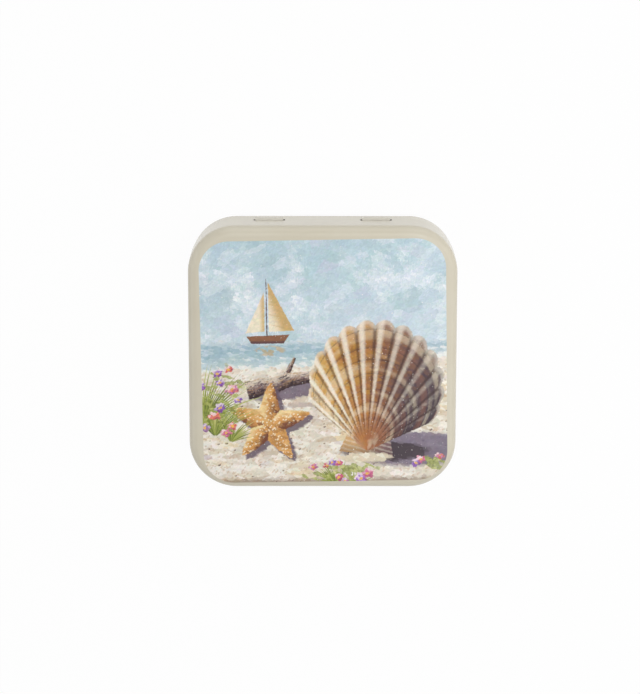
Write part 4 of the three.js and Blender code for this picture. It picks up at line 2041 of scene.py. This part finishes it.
@dataclass(frozen=True)
class Studio:
    """A pale sweep with plain soft light: an even surround, and lamps on the right, left, back and above."""

    surround: float = 0.4
    mirrored_overhead: float = 0.3  # what gloss shows straight above, where the surround is dimmer
    overhead: Pair = (0.15, 0.8)  # sine of the height where that starts and is full
    lamps: tuple[SoftBox, ...] = (
        SoftBox("right_lamp", 90, 55, 0.33, 0.629),
        SoftBox("left_lamp", 270, 25, 0.5, 0.345),
        SoftBox("back_lamp", 180, 25, 0.5, 0.357),
        SoftBox("top_lamp", 180, 80, 0.8, 0.518),
    )
    floor_size: float = 3.0
    floor_colour: Colour = (0.86, 0.86, 0.86)
    floor_glow: float = 0.96

    def build(self) -> None:
        """Makes the surround, the lamps and the floor."""
        self.light_surround()
        for lamp in self.lamps:
            lamp.hang()
        self.lay_floor()

    @staticmethod
    def seen(board: Board) -> Value:
        """1 for what the camera, a mirror or glass shows, and 0 for light that only falls on things."""
        path = board.add("ShaderNodeLightPath", output="Is Camera Ray")
        return path.at_least(path.output("Is Glossy Ray")).at_least(path.output("Is Transmission Ray"))

    def light_surround(self) -> None:
        """Lights an even grey surround that shows as white, and that gloss shows dimmer towards the top."""
        world = bpy.data.worlds.new("pale_surround")
        bpy.context.scene.world = world
        world.use_nodes = True
        board = Board(world.node_tree)
        _, _, height = board.parts(board.add("ShaderNodeTexCoord", output="Generated"))
        glossy = board.add("ShaderNodeLightPath", output="Is Glossy Ray")
        dimmed = glossy * height.step(*self.overhead) * (1 - self.mirrored_overhead)
        strength = self.seen(board) * (1 - self.surround) + self.surround - dimmed
        light = board.add("ShaderNodeBackground", {}, {"Color": (1.0, 1.0, 1.0), "Strength": strength})
        board.show(light, "ShaderNodeOutputWorld")

    def lay_floor(self) -> None:
        """Lays a flat pale floor that keeps a faint shadow."""
        half = self.floor_size / 2
        corners = [(-half, -half, 0), (half, -half, 0), (half, half, 0), (-half, half, 0)]
        mesh = bpy.data.meshes.new("pale_floor")
        mesh.from_pydata(corners, [], [(0, 1, 2, 3)])
        floor = placed("pale_floor", mesh)
        material, board = new_material("pale_floor")
        matt = board.add("ShaderNodeBsdfDiffuse", {}, {"Color": self.floor_colour})
        glow = board.add("ShaderNodeEmission", {}, {"Color": (1.0, 1.0, 1.0), "Strength": 1.0})
        share = self.seen(board) * self.floor_glow
        board.show(board.add("ShaderNodeMixShader", {}, {0: share, 1: matt, 2: glow}))
        mesh.materials.append(material)


def dress(
    piece: bpy.types.Object,
    finishes: Sequence[bpy.types.Material],
    body: str,
    node: str,
) -> None:
    """Gives a piece its finishes, hangs it on its body and puts it in a CAD node's place.

    Args:
        piece: The piece, with its faces numbered by kind.
        finishes: The outside, inside and cut edge.
        body: The body that it moves with.
        node: The CAD node that it stands for.
    """
    for finish in finishes:
        piece.data.materials.append(finish)
    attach(piece, body)
    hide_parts(node)
    log.info("%s: %d faces, on %s", piece.name, len(piece.data.polygons), body)


def main() -> None:
    """Builds the camera, the two pieces of the tin and the studio, and reads both CAD parts' boxes."""
    ProductCamera().build()
    bpy.context.scene.view_settings.view_transform = "Standard"
    low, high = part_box("tin_lid")
    rim_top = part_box("tin_base")[1].z
    _, hinge_y, hinge_height = frame["joints"][0]["pos_m"]
    plan = RoundSquare((high.x - low.x) / 2, (high.y - low.y) / 2, (high.y + low.y) / 2)
    curl_radius = high.y - hinge_y
    cream = CreamLacquer(hinge_y, hinge_height)
    paler, paler_clouds = paint_chip(224, 219, 206), paint_chip(218, 212, 196)
    inside = CreamLacquer(hinge_y, hinge_height, paler, paler_clouds).material("inside_lacquer")
    plain = cream.material("cream_lacquer")
    printed = cream.material("printed_lacquer", SeasidePicture())
    steel = BareSteel().material("cut_edge")
    lid = TinLid(plan, high.z, hinge_height, curl_radius).build()
    dress(lid, (printed, inside, steel), "lid", "tin_lid")
    base = TinBase(plan, hinge_height, rim_top, curl_radius).build()
    dress(base, (plain, inside, steel), "base", "tin_base")
    Studio().build()
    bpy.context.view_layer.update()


if __name__ == "__main__":
    logging.basicConfig(level=logging.INFO, format="%(name)s: %(message)s")
    main()
